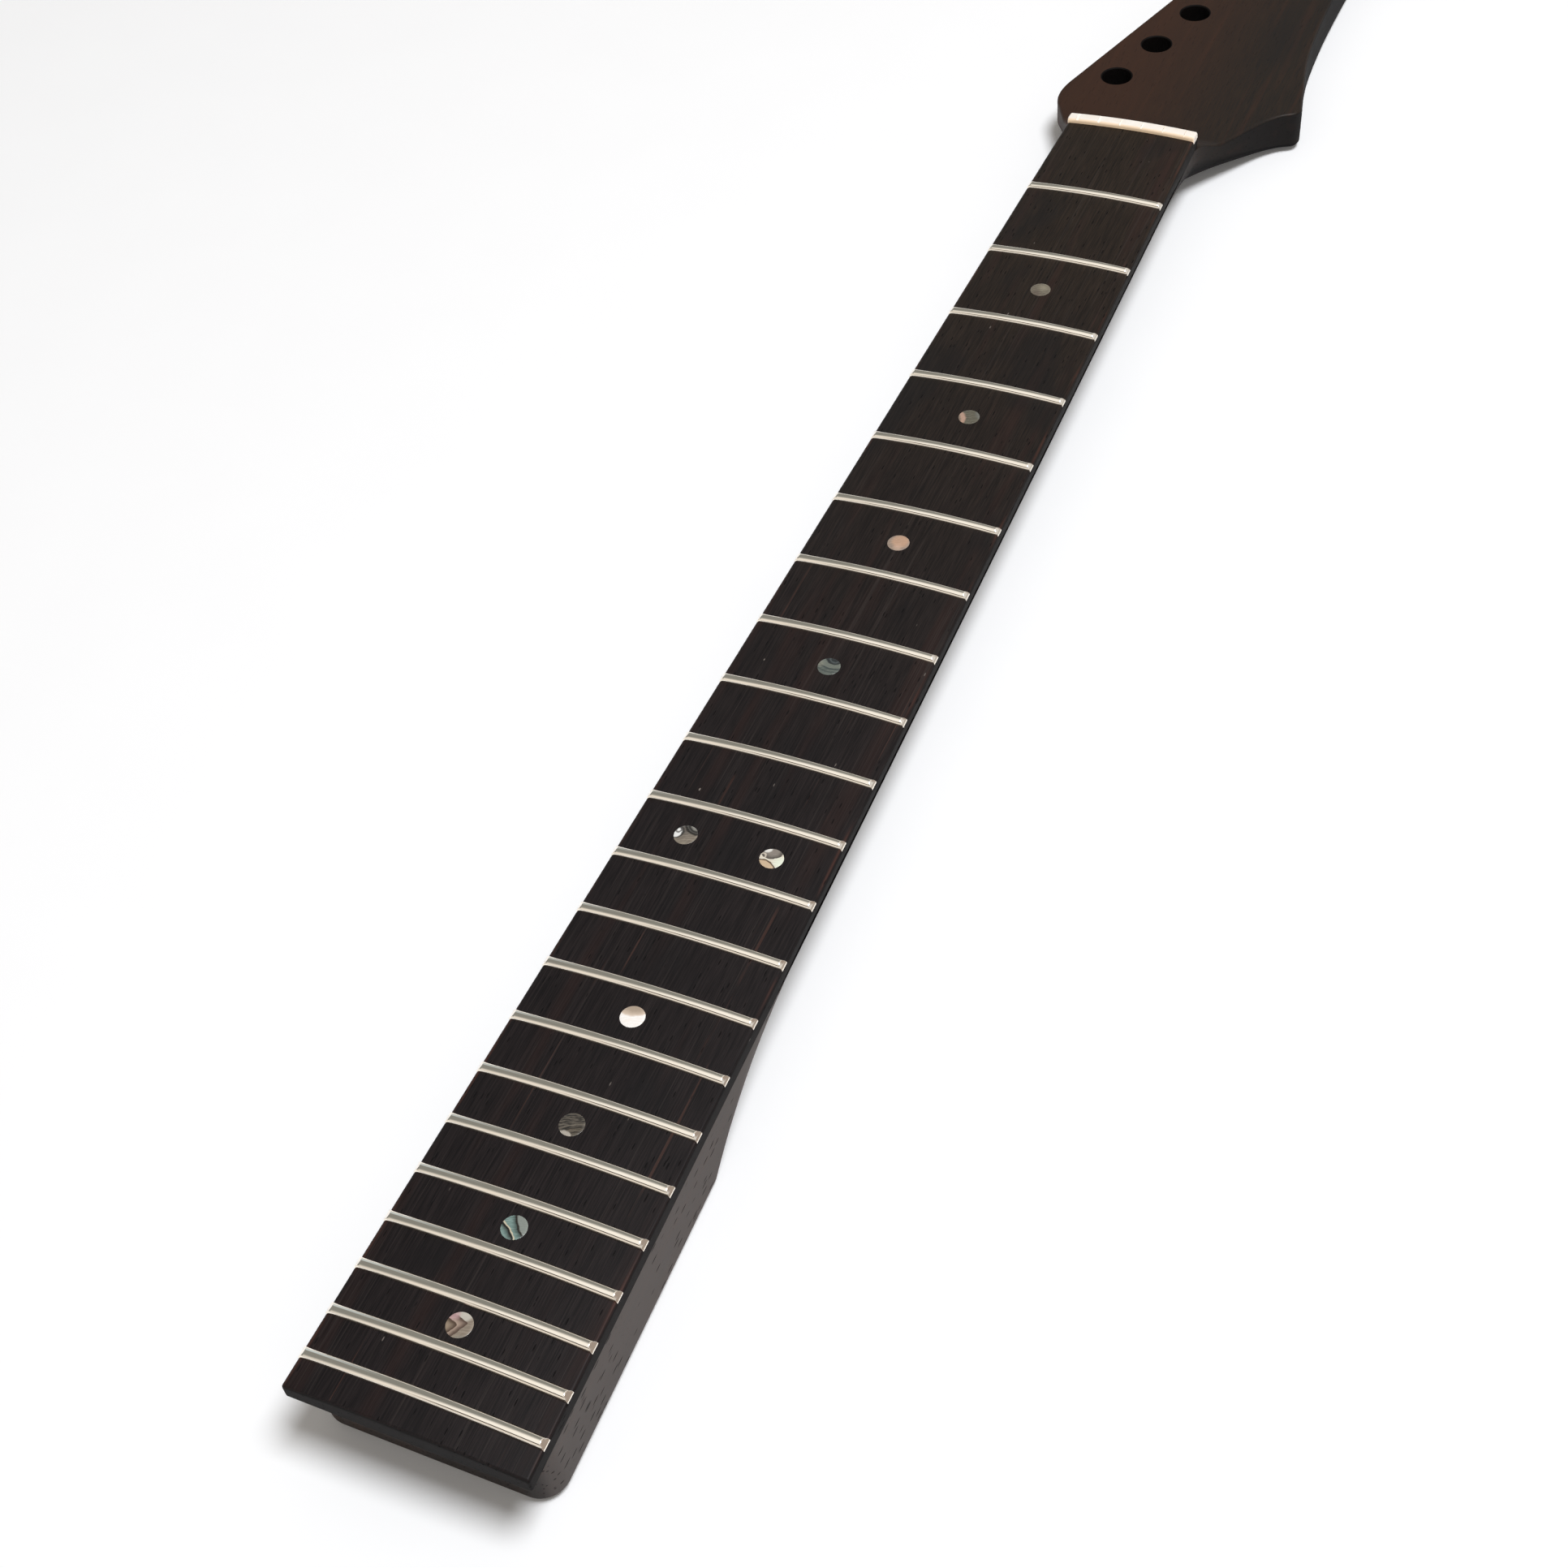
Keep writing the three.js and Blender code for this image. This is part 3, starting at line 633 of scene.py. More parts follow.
def string_slot(k):
    """A cutter for one string: round at the bottom and open above."""
    inner = NUT_HALF - OUTER_STRING_INSET
    x = mix(-inner, inner, k / (len(STRING_GAUGES) - 1))
    radius = STRING_GAUGES[k] / 2
    bottom = crown_height(x) + NUT_TOP - STRING_SLOT_DEPTH
    top = CROWN_Z + NUT_TOP + OVERRUN

    def chain(side, y):
        bowl = [(x + side * radius * math.cos(a), y, bottom + radius - radius * math.sin(a))
                for a in span(0, math.pi / 2, 6)[:-1]]
        return [(x + side * radius, y, top)] + bowl

    return loft("slot", [both(chain(-1, y), chain(1, y)) for y in (NUT_Y - OVERRUN, NUT_BACK_Y + OVERRUN)])


def make_nut(material):
    inner = NUT_HALF - NUT_ARRIS
    ends = [(NUT_HALF - NUT_ARRIS * (1 - math.cos(a)), NUT_ARRIS * (1 - math.sin(a)))
            for a in span(0, math.pi / 2, 4)]
    rings = [nut_ring(-x, shrink) for x, shrink in ends[:-1]]
    rings += [nut_ring(x, 0) for x in span(-inner, inner, 24)]
    rings += [nut_ring(x, shrink) for x, shrink in ends[:-1][::-1]]
    nut = cut(loft("nut_bone", rings), [string_slot(k) for k in range(len(STRING_GAUGES))])
    return dress(finished(nut), material, "nut_bone", "neck", "nut")


# Markers

def make_marker(name, material):
    """A shell disc that follows the crown, with its rim just eased. It stands on a flat bottom."""
    low, high = box(name)
    centre_x, centre_y = (low.x + high.x) / 2, (low.y + high.y) / 2
    radius = (high.y - low.y) / 2
    levels = [(None, radius * 0.5), (None, radius), (MARKER_PROUD - MARKER_RIM, radius),
              (MARKER_PROUD - MARKER_RIM * 0.3, radius - MARKER_RIM * 0.4),
              (MARKER_PROUD, radius - MARKER_RIM),
              *[(MARKER_PROUD, radius * share) for share in (0.75, 0.5, 0.2)]]

    def point(rise, right, on):
        x = centre_x + right
        return x, centre_y + on, low.z if rise is None else crown_height(x) + rise

    disc = turned(name + "_shell", 48, levels, point)
    return dress(finished(disc), material, "marker_shell", "neck", name)


def make_side_marker(name, material):
    """A small shell plug in the bass edge of the board."""
    low, high = box(name)
    centre_y, centre_z = (low.y + high.y) / 2, (low.z + high.z) / 2
    radius = (high.z - low.z) / 2
    face = low.x - MARKER_PROUD / 2
    levels = [(high.x, radius * 0.5), (high.x, radius), (face + MARKER_RIM, radius),
              (face + MARKER_RIM * 0.3, radius - MARKER_RIM * 0.4), (face, radius - MARKER_RIM),
              (face, radius * 0.6), (face, radius * 0.2)]
    plug = turned(name + "_shell", 28, levels, lambda x, on, up: (x, centre_y + on, centre_z + up))
    return dress(finished(plug), material, "side_marker_shell", "neck", name)


# The truss rod's adjusting nut

def make_adjuster(material):
    """A barrel with chamfered ends and a hexagon socket with a countersunk mouth."""
    radius = (adjuster_high.x - adjuster_low.x) / 2
    start, end = adjuster_low.y, adjuster_high.y
    corner = SOCKET_ACROSS_FLATS / 2 / math.cos(math.pi / 6)

    def about_axis(name, count, levels):
        return turned(name, count, levels, lambda y, right, up: (right, y, ROD_AXIS_Z + up))

    barrel = about_axis("adjuster", 48, [
        (start, radius - ADJUSTER_CHAMFER), (start + ADJUSTER_CHAMFER, radius),
        (end - ADJUSTER_CHAMFER, radius), (end, radius - ADJUSTER_CHAMFER)])
    socket = about_axis("socket", 6, [(start - OVERRUN, corner), (start + SOCKET_DEPTH, corner)])
    mouth = about_axis("mouth", 48, [
        (start - OVERRUN, corner + OVERRUN), (start, corner + MOUTH_RIM),
        (start + MOUTH_DEPTH, corner + MOUTH_RIM - MOUTH_DEPTH)])
    cut(barrel, [socket, mouth])
    return dress(finished(barrel), material, "adjuster_steel", "truss_rod", "truss_rod_adjusting_nut")


# Materials

class Tone:
    """A socket in a node tree. Arithmetic on it adds Math nodes."""

    def __init__(self, nodes, socket):
        self.nodes = nodes
        self.socket = socket

    def __add__(self, other):
        return self.nodes.worked("ADD", self, other)

    def __radd__(self, other):
        return self.nodes.worked("ADD", other, self)

    def __sub__(self, other):
        return self.nodes.worked("SUBTRACT", self, other)

    def __rsub__(self, other):
        return self.nodes.worked("SUBTRACT", other, self)

    def __mul__(self, other):
        return self.nodes.worked("MULTIPLY", self, other)

    def __rmul__(self, other):
        return self.nodes.worked("MULTIPLY", other, self)

    def other(self, output):
        """Another output of the same node."""
        return Tone(self.nodes, self.socket.node.outputs[output])


class Nodes:
    """A node tree, and the one way to add to it."""

    def __init__(self, tree):
        self.tree = tree

    def add(self, kind, settings, values, output=0):
        """Adds a node: its settings first, then the values or links of its sockets."""
        node = self.tree.nodes.new(kind)
        for name, value in settings.items():
            setattr(node, name, value)
        self.feed(node, values)
        return Tone(self, node.outputs[output])

    def feed(self, node, values):
        for name, value in values.items():
            if isinstance(value, Tone):
                self.tree.links.new(value.socket, node.inputs[name])
            else:
                node.inputs[name].default_value = value

    def worked(self, operation, *values):
        return self.add("ShaderNodeMath", {"operation": operation}, dict(enumerate(values)))

    def vector(self, operation, *values, output=0):
        return self.add("ShaderNodeVectorMath", {"operation": operation}, dict(enumerate(values)), output)

    def parts(self, vector):
        """How far a vector runs across, along and up the neck."""
        across = self.add("ShaderNodeSeparateXYZ", {}, {0: vector})
        return across, across.other("Y"), across.other("Z")

    def mixed(self, a, b, share):
        """A colour between two colours."""
        return self.add("ShaderNodeMix", {"data_type": "RGBA"}, {0: share, 6: a, 7: b}, 2)

    def fade(self, value, low, high):
        """0 up to the low value, 1 from the high one, and smooth between."""
        return self.add("ShaderNodeMapRange", {"interpolation_type": "SMOOTHSTEP"},
                        {"Value": value, "From Min": low, "From Max": high, "To Min": 0, "To Max": 1})

    def band(self, value, start, full, falling, end):
        """0 up to the start and from the end on, 1 from full to falling, and smooth between."""
        return self.fade(value, start, full) * self.fade(value, end, falling)


class Finish(Nodes):
    """A material of one surface."""

    def __init__(self, name, **constants):
        self.material = bpy.data.materials.new(name)
        self.material.use_nodes = True
        super().__init__(self.material.node_tree)
        self.surface = self.tree.nodes["Principled BSDF"]
        self.place = self.add("ShaderNodeTexCoord", {}, {}, "Object")
        self.shown(**constants)

    def shown(self, **looks):
        """Sets values of the surface, or joins to it what varies over it."""
        self.feed(self.surface, {key.replace("_", " "): value for key, value in looks.items()})
        return self.material

    def facing(self):
        """How much the surface faces across, along and up the neck, from -1 to 1."""
        return self.parts(self.add("ShaderNodeNewGeometry", {}, {}, "Normal"))

    def sized(self, x, y, z):
        """Places counted in steps of these sizes, in millimetres."""
        return self.vector("DIVIDE", self.place, (x * MM, y * MM, z * MM))

    def noise(self, x, y, z, detail=2, roughness=0.5):
        """Noise with spots about this size. It runs from 0 to 1, with its middle at 0.5."""
        return self.add("ShaderNodeTexNoise", {}, {"Vector": self.sized(x, y, z), "Scale": 1.0,
                                                   "Detail": detail, "Roughness": roughness})

    def grain(self, across, along, detail=2, roughness=0.5):
        """Noise drawn out along the neck."""
        return self.noise(across, along, across, detail, roughness)

    def dashes(self, across, along, reach, kept):
        """Scattered short dashes along the neck: one to each cell of these sizes, and only a share kept."""
        cells = self.add("ShaderNodeTexVoronoi", {},
                         {"Vector": self.sized(across, along, across), "Scale": 1.0, "Randomness": 1.0})
        picked = self.add("ShaderNodeSeparateColor", {}, {0: cells.other("Color")})
        return self.fade(cells, reach, reach * 0.6) * self.fade(picked, 1 - kept, 1 - kept + 0.02)

    def layered(self, body, layers):
        """Colours laid over a body colour in turn, each as strong as its own mask."""
        for colour, mask in layers:
            body = self.mixed(body, paint(*colour), mask)
        return body

    def bumped(self, height, depth, strength):
        """The surface's direction over a height from 0 to 1 that is this many millimetres deep."""
        return self.add("ShaderNodeBump", {},
                        {"Height": height, "Distance": depth * MM, "Strength": strength})


def paint(red, green, blue):
    """A colour read off a screen, as Blender's linear values."""
    def linear(value):
        share = value / 255
        return share / 12.92 if share <= 0.04045 else ((share + 0.055) / 1.055) ** 2.4
    return linear(red), linear(green), linear(blue), 1


def grey(value):
    return value, value, value, 1


# Painted shade on the neck's wood: the headstock's treble side over the first stretch beyond the nut, and
# what faces down between two distances before the nut, are darkened in colour
WALL_SHADE_FADE = 8
UNDER_SHADE_FROM = 24
UNDER_SHADE_FULL = 10

# How far beyond the board's edge, so less than 0 inside it, the worn band starts, is full, falls and ends
WORN = (-1.2, -0.6, -0.5, -0.2)

# A Wave Texture of this scale has one ridge to each step of its coordinates
WAVE_PER_STEP = 0.314

# The strokes are placed with this turn taken out, so that across is level as the neck is usually seen. The
# shell's lines then wander by up to half of this share of a radius, each way. The growth lines come this
# close across and up, a wedge's point is this blunt, and a shaded stroke has a rim this wide.
SHELL_TURN = math.radians(-23)
SHELL_WANDER = 0.3
GROWTH_LINES = (1.2, 7, 0)
WEDGE_ROUND = 0.03
SHADE_EDGE = 0.05


def board_wood():
    """Near-black board, browner near the nut, with fine straight fibres, pores, scratches and worn edges.

    Its sides are darker than its face.
    """
    finish = Finish("board_wood", Specular_IOR_Level=0.14)
    across, along, _ = finish.parts(finish.place)
    nutward = finish.fade(along, 0.1, 0.42)
    flank = finish.fade(finish.facing()[2], 0.75, 0.35)
    taper = half_width(1) - half_width(0)
    beyond_edge = finish.worked("ABSOLUTE", across) - along * taper - half_width(0) * MM
    worn = finish.band(beyond_edge, *(place * MM for place in WORN))
    fibres = finish.grain(0.2, 11, 3, 0.65)
    streaks = finish.fade(finish.grain(6, 110), 0.52, 0.72)
    threads = finish.fade(finish.grain(0.55, 120), 0.6, 0.7)
    breaks = finish.grain(6, 26)
    broken_lines = finish.fade(finish.grain(1.1, 200), 0.66, 0.72) * finish.fade(breaks, 0.5, 0.62)
    patches = finish.fade(finish.grain(16, 34), 0.52, 0.7)
    pores = finish.dashes(0.9, 5, 0.24, 0.4)
    scratches = finish.dashes(4, 15, 0.05, 0.5)
    flecks = finish.dashes(14, 30, 0.02, 0.35)
    dark = finish.mixed(paint(17, 14, 15), paint(22, 16, 12), nutward)
    light = finish.mixed(paint(37, 31, 31), paint(47, 37, 29), nutward)
    body = finish.layered(finish.mixed(dark, light, finish.fade(fibres, 0.34, 0.68)), [
        ((50, 32, 28), streaks * (0.3 + nutward * 0.3)),
        ((70, 63, 60), threads * 0.2),
        ((84, 58, 50), broken_lines * 0.4),
        ((20, 19, 20), patches * 0.45),
        ((92, 58, 48), worn * finish.fade(breaks, 0.48, 0.68) * 0.4),
        ((16, 13, 13), flank * 0.8),
        ((4, 3, 3), pores * 0.8),
        ((116, 108, 102), scratches * 0.7),
        ((150, 140, 132), flecks * 0.7),
    ])
    gloss = 0.36 + fibres * 0.16 + pores * 0.4 + flank * 0.3
    relief = finish.bumped(fibres * 0.6 - pores, 0.03, 0.5)
    return finish.shown(Base_Color=body, Roughness=gloss, Normal=relief)


def neck_wood():
    """Open-pored brown wood, warmer towards the headstock, with reddish and black areas in its grain.

    The heel's treble side is made greyer, as a painted sheen. The headstock's treble side face is painted
    nearly black as shade, and so is what faces down from just before the nut on.
    """
    finish = Finish("neck_wood", Specular_IOR_Level=0.22)
    across, along, _ = finish.parts(finish.place)
    treble, _, upward = finish.facing()
    headward = finish.fade(along, 0.1, 0.44)
    reddish = finish.fade(across - along * 0.05, 0.01, -0.045) * headward
    # painted sheen: the heel's treble side is made greyer in colour
    side = finish.fade(treble, 0.45, 0.85) * finish.fade(along, 0.3, 0.1)
    # painted shade: the headstock's treble side beyond the nut is darkened in colour
    wall_shade = finish.fade(upward, 0.7, 0.3) * finish.fade(across, 0.016, 0.034)
    wall_shade = wall_shade * finish.fade(along, NUT_Y * MM, (NUT_Y + WALL_SHADE_FADE) * MM)
    # painted shade: what faces down before the nut is darkened in colour
    under = finish.fade(upward, 0, -0.5)
    under = under * finish.fade(along, (NUT_Y - UNDER_SHADE_FROM) * MM, (NUT_Y - UNDER_SHADE_FULL) * MM)
    fibres = finish.grain(0.28, 9, 3, 0.6)
    streaks = finish.fade(finish.grain(3.2, 90), 0.5, 0.72)
    patches = finish.fade(finish.grain(22, 60, 1), 0.5, 0.72)
    pores = finish.dashes(0.9, 6, 0.28, 0.6) * (1 - headward * 0.75)
    fine_pores = finish.dashes(0.45, 3, 0.16, 0.5)
    dark = finish.mixed(paint(28, 23, 21), paint(21, 15, 11), headward)
    light = finish.mixed(paint(58, 47, 42), paint(38, 27, 17), headward)
    body = finish.layered(finish.mixed(dark, light, finish.fade(fibres, 0.33, 0.68)), [
        ((58, 34, 22), streaks * 0.45),
        ((64, 33, 14), reddish * 0.5),
        ((16, 13, 12), patches * 0.5),
        # painted sheen on the heel's treble side
        ((104, 95, 91), side * 0.46),
        # painted shade on the headstock's treble side and on what faces down
        ((10, 10, 12), wall_shade * 0.75),
        ((10, 10, 12), under * 0.85),
        ((6, 4, 4), pores * 0.85),
        ((10, 7, 6), fine_pores * 0.4),
    ])
    edge_on = finish.add("ShaderNodeLayerWeight", {}, {"Blend": 0.5}, "Facing")
    gloss = 0.36 + fibres * 0.16 + pores * 0.4 + fine_pores * 0.15 + edge_on * 0.2
    gloss = gloss + wall_shade * 0.25 + under * 0.3
    relief = finish.bumped(fibres * 0.4 - pores - fine_pores * 0.3, 0.05, 0.6)
    return finish.shown(Base_Color=body, Roughness=gloss, Normal=relief)


def recess_shade_wood():
    """Wood where a drill or cutter ran: painted nearly black as shade, with rings from the tool."""
    finish = Finish("recess_shade_wood", Specular_IOR_Level=0.12)
    rings = finish.noise(2, 2, 0.4)
    # painted shade: the recesses' wood is darkened in colour
    body = finish.mixed(paint(6, 4, 3), paint(15, 10, 8), rings)
    return finish.shown(Base_Color=body, Roughness=0.6 + rings * 0.2, Normal=finish.bumped(rings, 0.05, 0.5))


def fret_wire():
    """Polished warm nickel silver with hair-fine marks along the wire."""
    finish = Finish("fret_wire", Metallic=1.0)
    marks = finish.noise(12, 0.09, 0.09)
    body = finish.mixed(paint(246, 236, 221), paint(252, 245, 233), finish.noise(6, 1.2, 1.2))
    relief = finish.bumped(marks, 0.003, 0.6)
    return finish.shown(Base_Color=body, Roughness=0.04 + marks * 0.06, Normal=relief)


def nut_bone():
    """Cream bone with faint growth lines and a soft polish; its front has painted shade and a painted glow.
    """
    finish = Finish("nut_bone", Specular_IOR_Level=0.35, Emission_Strength=0.5)
    lines = finish.noise(5, 0.35, 0.35)
    # the front's tan colour is painted shade, and its emitted glow is painted light
    front = finish.fade(finish.facing()[1], -0.25, -0.8)
    clouds = finish.fade(finish.noise(3, 3, 3), 0.35, 0.65)
    body = finish.layered(finish.mixed(paint(252, 242, 230), paint(254, 247, 238), clouds), [
        ((243, 230, 210), finish.fade(lines, 0.5, 0.8) * 0.2),
        # painted shade on the front
        ((238, 212, 182), front * 0.8),
    ])
    # painted glow: the front emits light though it is no lamp
    painted_glow = finish.mixed(grey(0), paint(196, 168, 134), front)
    rough = 0.4 + lines * 0.15
    relief = finish.bumped(lines, 0.004, 0.3)
    return finish.shown(Base_Color=body, Roughness=rough, Emission_Color=painted_glow, Normal=relief)


def stroke_mask(finish, spot, place, size, style, soft):
    """Where a stroke on the shell shows. Places are in radii of the disc, across and up.

    A stroke is round, of some size, or a wedge that points across, of some slope. It is filled, or drawn as
    a line on its rim, or shaded from the rim within or beyond.
    """
    if "wedge" in style:
        across, along, _ = finish.parts(spot)
        up = along - place[1]
        beyond = across + finish.worked("SQRT", up * up + WEDGE_ROUND) * size - place[0]
    else:
        beyond = finish.vector("DISTANCE", spot, (*place, 0), output="Value") - size
    if "filled" in style:
        return finish.fade(beyond, soft, -soft)
    if "line" in style:
        return finish.fade(finish.worked("ABSOLUTE", beyond), soft, soft * 0.2)
    if "within" in style:
        return finish.band(beyond, -soft, 0, 0, SHADE_EDGE)
    return finish.band(beyond, -SHADE_EDGE, 0, 0, soft)


def shell(name, node, base, mottle, strokes):
    """Sea shell: growth lines in two colours, with strokes over them."""
    low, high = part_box(node)
    centre = [(a + b) / 2 for a, b in zip(low, high)]
    radius = (high[1] - low[1]) / 2
    finish = Finish(name, Coat_Weight=0.15, Coat_Roughness=0.15, Specular_IOR_Level=0.4)
    turned = finish.add("ShaderNodeVectorRotate", {"rotation_type": "Z_AXIS"},
                        {"Vector": finish.vector("SUBTRACT", finish.place, centre), "Angle": SHELL_TURN})
    local = finish.vector("MULTIPLY", turned, (1 / radius, 1 / radius, 0))
    wander = finish.add("ShaderNodeTexNoise", {}, {"Vector": local, "Scale": 1.6, "Detail": 2.0}, "Color")
    shifted = finish.vector("MULTIPLY_ADD", wander, (SHELL_WANDER, SHELL_WANDER, 0), local)
    shifted = finish.vector("SUBTRACT", shifted, (SHELL_WANDER / 2, SHELL_WANDER / 2, 0))
    drawn_out = finish.vector("MULTIPLY", shifted, GROWTH_LINES)
    growth = finish.add("ShaderNodeTexNoise", {}, {"Vector": drawn_out, "Scale": 1.0, "Detail": 3.0})
    body = finish.mixed(paint(*base), paint(*mottle), finish.fade(growth, 0.35, 0.65))
    body = finish.layered(body, [(colour, stroke_mask(finish, shifted, *stroke) * strength)
                                 for *stroke, colour, strength in strokes])
    relief = finish.bumped(growth, 0.003, 0.3)
    return finish.shown(Base_Color=body, Roughness=0.2 + growth * 0.14, Normal=relief)


def plain_metal(name, colour, rough, pitch=0):
    """Machined metal with fine tool marks, and with a thread's ridges where it is given a pitch."""
    finish = Finish(name, Metallic=1.0)
    marks = finish.noise(0.5, 0.06, 0.5)
    body = finish.mixed(colour, grey(0.05), finish.fade(marks, 0.55, 0.8) * 0.4)
    relief = marks * 0.3
    if pitch:
        relief = relief + finish.add("ShaderNodeTexWave", {"bands_direction": "Y"},
                                     {"Vector": finish.sized(1, pitch, 1), "Scale": WAVE_PER_STEP})
    relief = finish.bumped(relief, 0.05, 0.6)
    return finish.shown(Base_Color=body, Roughness=rough + marks * 0.15, Normal=relief)


# Each marker's shell: its two colours of growth lines, and its strokes
SHELL_LOOKS = {
    "03": ((104, 96, 84), (122, 114, 98), [
        ((0.35, 0.25), 0.4, "filled", 0.5, (152, 144, 124), 0.75),
        ((-0.5, -0.6), 0.5, "filled", 0.5, (100, 88, 78), 0.7)]),
    "05": ((92, 88, 76), (106, 102, 88), [
        ((-1.62, 0), 1.3, "filled", 0.12, (186, 152, 132), 0.9),
        ((-2.15, 0), 1.35, "filled", 0.15, (112, 104, 90), 0.8),
        ((1.5, 0.3), 0.85, "filled", 0.25, (114, 115, 110), 0.7)]),
    "07": ((150, 132, 118), (162, 143, 127), [
        ((0.2, 0.15), 0.75, "filled", 0.25, (198, 159, 131), 0.85),
        ((0, 0.35), 0.3, "filled", 0.35, (182, 150, 126), 0.6),
        ((-0.1, -0.55), 0.35, "filled", 0.25, (206, 174, 152), 0.6)]),
    "09": ((88, 95, 89), (101, 107, 100), [
        ((0.75, 1.35), 1.75, "filled", 0.1, (112, 117, 108), 0.9),
        ((0.75, 1.35), 1.75, "line", 0.14, (60, 67, 66), 0.9),
        ((0.75, 1.6), 2.35, "line", 0.1, (66, 72, 70), 0.7),
        ((0.6, 1), 0.85, "filled", 0.08, (38, 42, 44), 0.95),
        ((0.6, 0.85), 0.45, "line", 0.12, (84, 91, 91), 0.7),
        ((-0.75, 0.45), 0.3, "filled", 0.25, (142, 141, 125), 0.6)]),
    "12_bass": ((122, 112, 100), (142, 132, 118), [
        ((0, 0.9), 0.9, "filled", 0.5, (92, 87, 82), 0.8),
        ((1.15, 1), 1.1, "filled", 0.05, (126, 123, 116), 0.9),
        ((1.15, 1), 1.1, "line", 0.2, (36, 33, 30), 0.95),
        ((1.15, 1), 0.86, "line", 0.17, (44, 42, 40), 0.95),
        ((1.15, 1), 0.66, "filled", 0.1, (150, 148, 142), 0.8),
        ((-0.8, 0.45), 0.68, "filled", 0.05, (56, 53, 50), 0.9),
        ((-0.85, 0.42), 0.54, "filled", 0.06, (240, 240, 236), 0.95),
        ((-0.55, 0.6), 0.22, "line", 0.12, (92, 87, 84), 0.85)]),
    "12_treble": ((216, 207, 186), (234, 228, 212), [
        ((0.8, -0.6), 0.6, "filled", 0.3, (230, 236, 216), 0.9),
        ((-1, -1.2), 1.2, "filled", 0.05, (204, 178, 146), 0.95),
        ((-1, -1.2), 1.2, "line", 0.11, (84, 64, 44), 0.95),
        ((0.1, 0.95), 0.98, "filled", 0.06, (132, 123, 115), 0.95),
        ((0.1, 0.95), 0.98, "within", 0.45, (80, 74, 68), 0.9),
        ((-0.3, 1.05), 0.42, "filled", 0.1, (240, 236, 228), 0.9),
        ((-0.65, 0.35), 0.22, "line", 0.1, (226, 214, 196), 0.7)]),
    "15": ((252, 244, 236), (255, 251, 247), [
        ((0.3, 1.9), 1.85, "filled", 0.12, (214, 190, 166), 0.85),
        ((0.3, 1.9), 1.6, "filled", 0.3, (168, 150, 131), 0.9)]),
    "17": ((38, 36, 33), (104, 96, 86), [
        ((0.4, -3.6), 3.35, "filled", 0.08, (108, 98, 83), 0.45),
        ((0.4, -3.6), 3.3, "line", 0.08, (36, 33, 30), 0.7),
        ((0.4, -3.6), 2.95, "line", 0.1, (44, 39, 34), 0.8),
        ((0.4, -3.9), 3.9, "line", 0.09, (116, 108, 96), 0.6),
        ((-0.65, -1.05), 0.62, "filled", 0.07, (178, 170, 158), 0.95)]),
    "19": ((112, 136, 130), (136, 160, 153), [
        ((3, 0.9), 2.88, "beyond", 0.5, (56, 66, 62), 0.9),
        ((3, 0.9), 2.88, "filled", 0.04, (136, 141, 134), 0.95),
        ((3, 0.9), 2.88, "line", 0.13, (34, 28, 22), 0.95),
        ((-3, -1.6), 3, "within", 0.5, (34, 36, 33), 0.95),
        ((-3, -1.6), 3.1, "line", 0.08, (214, 198, 170), 0.9),
        ((-3, -1.6), 2.96, "line", 0.12, (30, 25, 22), 0.95)]),
    "21": ((132, 120, 106), (148, 135, 120), [
        ((0.35, 1.15), 0.85, "filled", 0.15, (196, 190, 178), 0.9),
        ((0.78, 0.08), 1.5, "filled wedge", 0.05, (176, 154, 138), 0.95),
        ((0.78, 0.08), 1.5, "within wedge", 0.85, (80, 62, 52), 0.95),
        ((-0.5, 0.9), 0.5, "filled", 0.2, (190, 154, 154), 0.8),
        ((0.05, 0.05), 1.5, "filled wedge", 0.05, (150, 133, 114), 0.95),
        ((0.05, 0.05), 1.5, "within wedge", 0.7, (78, 60, 48), 0.95),
        ((0, -1.6), 0.8, "filled", 0.1, (132, 126, 114), 0.8)]),
}


def shell_for(name):
    return shell(name + "_shell", name, *SHELL_LOOKS[name.split("marker_")[1]])


# The studio: the camera in millimetres, the rest in metres and watts

FLOOR_REACH = 3.0
TABLE_GAP = 0.05 * MM
TABLE_LIFT = 0.07
FAR_LIFT = 0.85
FAR_FROM = 0.8
FAR_BY = 2.2
PORTRAIT_LENS = 52.47
CAMERA_PLACE = Vector((186.127, -187.934, 443.138))
CAMERA_AIM = Vector((4.881, 136.977, 24.5))
CAMERA_ROLL = -7.758
KEY_AIM = Vector((0, 0.15, 0))
KEY_DIRECTION = Vector((0.29, 0.02, 0.95)).normalized()
KEY_DISTANCE = 2.3
KEY_SIZE = 0.92
KEY_POWER = 45.3
KEY_COLOUR = (0.94, 0.963, 1.0)
DULL_SKY = (0.275, 0.256, 0.232, 1)


def seen_directly(nodes):
    """1 for what the camera sees itself or in a gloss or through glass, and 0 for what only lights."""
    path = nodes.add("ShaderNodeLightPath", {}, {}, "Is Camera Ray")
    either = nodes.worked("MAXIMUM", path, path.other("Is Glossy Ray"))
    return nodes.worked("MAXIMUM", either, path.other("Is Transmission Ray"))


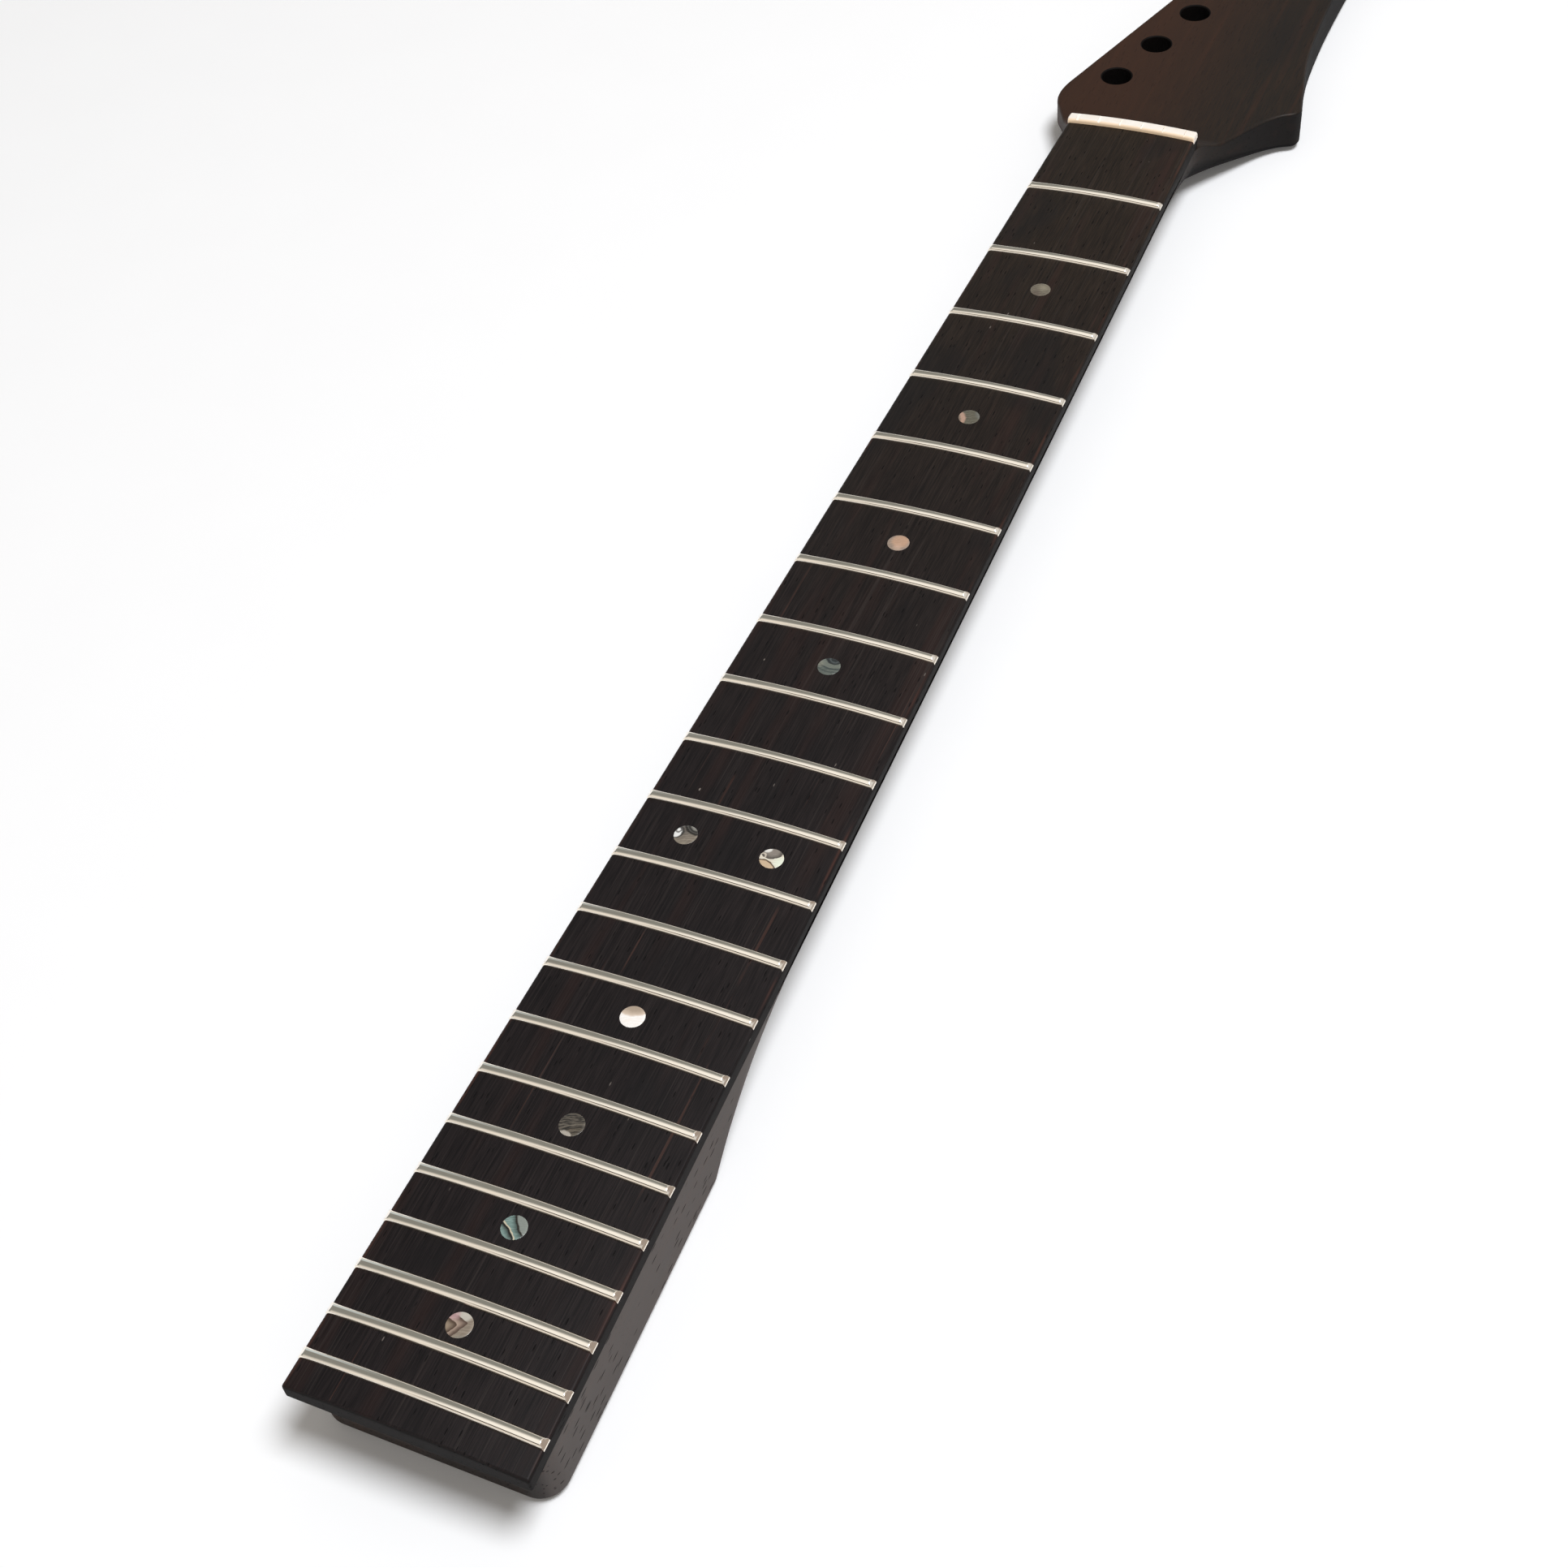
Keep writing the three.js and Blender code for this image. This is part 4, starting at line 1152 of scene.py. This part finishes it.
def make_floor():
    """A pale table that meets the heel's front edge and the headstock's tip, under a neck laid on it.

    Far from the neck it glows a little to the viewer, so that it stays pale where the lamp doesn't reach.
    """
    slope = HEADSTOCK_BACK_Z / (TIP_Y - HEEL_FRONT_Y)
    points = [(x, HEEL_FRONT_Y * MM + y, y * slope - TABLE_GAP) for x, y in (
        (-FLOOR_REACH, -FLOOR_REACH), (FLOOR_REACH, -FLOOR_REACH),
        (FLOOR_REACH, FLOOR_REACH), (-FLOOR_REACH, FLOOR_REACH))]
    mesh = bpy.data.meshes.new("table")
    mesh.from_pydata(points, [], [(0, 1, 2, 3)])
    finish = Finish("table", Roughness=0.7, Specular_IOR_Level=0.2, Emission_Strength=1.0)
    off = finish.vector("LENGTH", finish.place, output="Value")
    lift = finish.mixed(grey(TABLE_LIFT), grey(FAR_LIFT), finish.fade(off, FAR_FROM, FAR_BY))
    lift = finish.mixed(grey(0), lift, seen_directly(finish))
    colour = finish.mixed(grey(0.95), grey(0.97), finish.noise(30, 30, 30))
    mesh.materials.append(finish.shown(Base_Color=colour, Emission_Color=lift))
    placed("table", mesh)


def make_sky():
    """An even soft light, and a room for polished wire to show.

    The room is grey-green on the bass side, with a paler corner towards the headstock, bright in the middle
    and brown on the treble side. The bright part has a thin dark line towards the heel, and is a little
    duller beyond it. Near the horizon the room is pale nearly all round.
    """
    grey_green = (0.245, 0.25, 0.238, 1)
    bluish = (0.62, 0.71, 0.76, 1)
    cream = (0.88, 0.84, 0.79, 1)
    white = (1.0, 0.985, 0.955, 1)
    duller = (0.82, 0.76, 0.7, 1)
    dark = (0.05, 0.04, 0.034, 1)
    brown = (0.36, 0.31, 0.28, 1)
    world = bpy.data.worlds.new("studio")
    world.use_nodes = True
    bpy.context.scene.world = world
    nodes = Nodes(world.node_tree)
    across, along, up = nodes.parts(nodes.add("ShaderNodeTexCoord", {}, {}, "Generated"))
    corner = nodes.fade(along, 0.45, 0.7) * nodes.fade(across, -0.43, -0.56)
    bass = nodes.mixed(grey_green, bluish, corner)
    middle = nodes.mixed(cream, white, nodes.fade(across, -0.45, -0.3))
    middle = nodes.mixed(middle, duller, nodes.fade(along, -0.76, -0.86))
    line = nodes.band(along, -0.86, -0.77, -0.69, -0.6)
    middle = nodes.mixed(middle, dark, line * nodes.fade(across, -0.43, -0.33))
    room = nodes.mixed(bass, middle, nodes.fade(across - along * 0.356, -0.43, -0.18))
    room = nodes.mixed(room, brown, nodes.fade(across, 0.05, 0.2))
    room = nodes.mixed(room, grey(0.7), nodes.fade(up, 0.26, 0.15))
    patch = nodes.band(along, 0.1, 0.2, 0.45, 0.6)
    room = nodes.mixed(room, brown, patch * nodes.fade(across, 0.6, 0.75))
    colour = nodes.mixed(DULL_SKY, room, seen_directly(nodes))
    nodes.feed(world.node_tree.nodes["Background"], {"Color": colour, "Strength": 1.0})


def make_lamp():
    lamp = bpy.data.lights.new("key", "AREA")
    lamp.shape = "DISK"
    lamp.size = KEY_SIZE
    lamp.energy = KEY_POWER
    lamp.color = KEY_COLOUR
    holder = placed("key", lamp)
    holder.location = KEY_AIM + KEY_DIRECTION * KEY_DISTANCE
    holder.rotation_euler = KEY_DIRECTION.to_track_quat("Z", "Y").to_euler()


def make_camera():
    camera = bpy.data.cameras.new("camera")
    camera.sensor_width = 36
    camera.lens = PORTRAIT_LENS
    camera.clip_start = 0.01
    look = (CAMERA_AIM - CAMERA_PLACE).to_track_quat("-Z", "Y").to_matrix().to_4x4()
    from_roll = Matrix.Rotation(math.radians(CAMERA_ROLL), 4, "Z")
    holder = placed("camera", camera)
    holder.matrix_world = Matrix.Translation(CAMERA_PLACE * MM) @ look @ from_roll
    bpy.context.scene.camera = holder


# Everything is made here

make_camera()
make_floor()
make_sky()
make_lamp()
bpy.context.scene.view_settings.view_transform = "Standard"

make_neck(neck_wood(), recess_shade_wood())
make_board(board_wood())
make_nut(nut_bone())
wire = fret_wire()
for name in FRET_NAMES:
    make_fret(name, wire)
for name in sorted(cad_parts):
    if name.startswith("marker_"):
        make_marker(name, shell_for(name))
    elif name.startswith("side_marker_"):
        make_side_marker(name, shell_for(name))
make_adjuster(plain_metal("adjuster_steel", grey(0.06), 0.35))

STEEL = (0.42, 0.43, 0.45, 1)
steel = plain_metal("rod_steel", STEEL, 0.3)
thread = plain_metal("rod_thread", STEEL, 0.3, pitch=0.7)
brass = plain_metal("rod_brass", (0.62, 0.45, 0.18, 1), 0.3)
for name, metal in {"truss_rod_bar": steel, "truss_rod_threaded": thread,
                    "truss_rod_heel_block": brass, "truss_rod_nut_block": brass}.items():
    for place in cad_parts[name].material_slots:
        place.material = metal
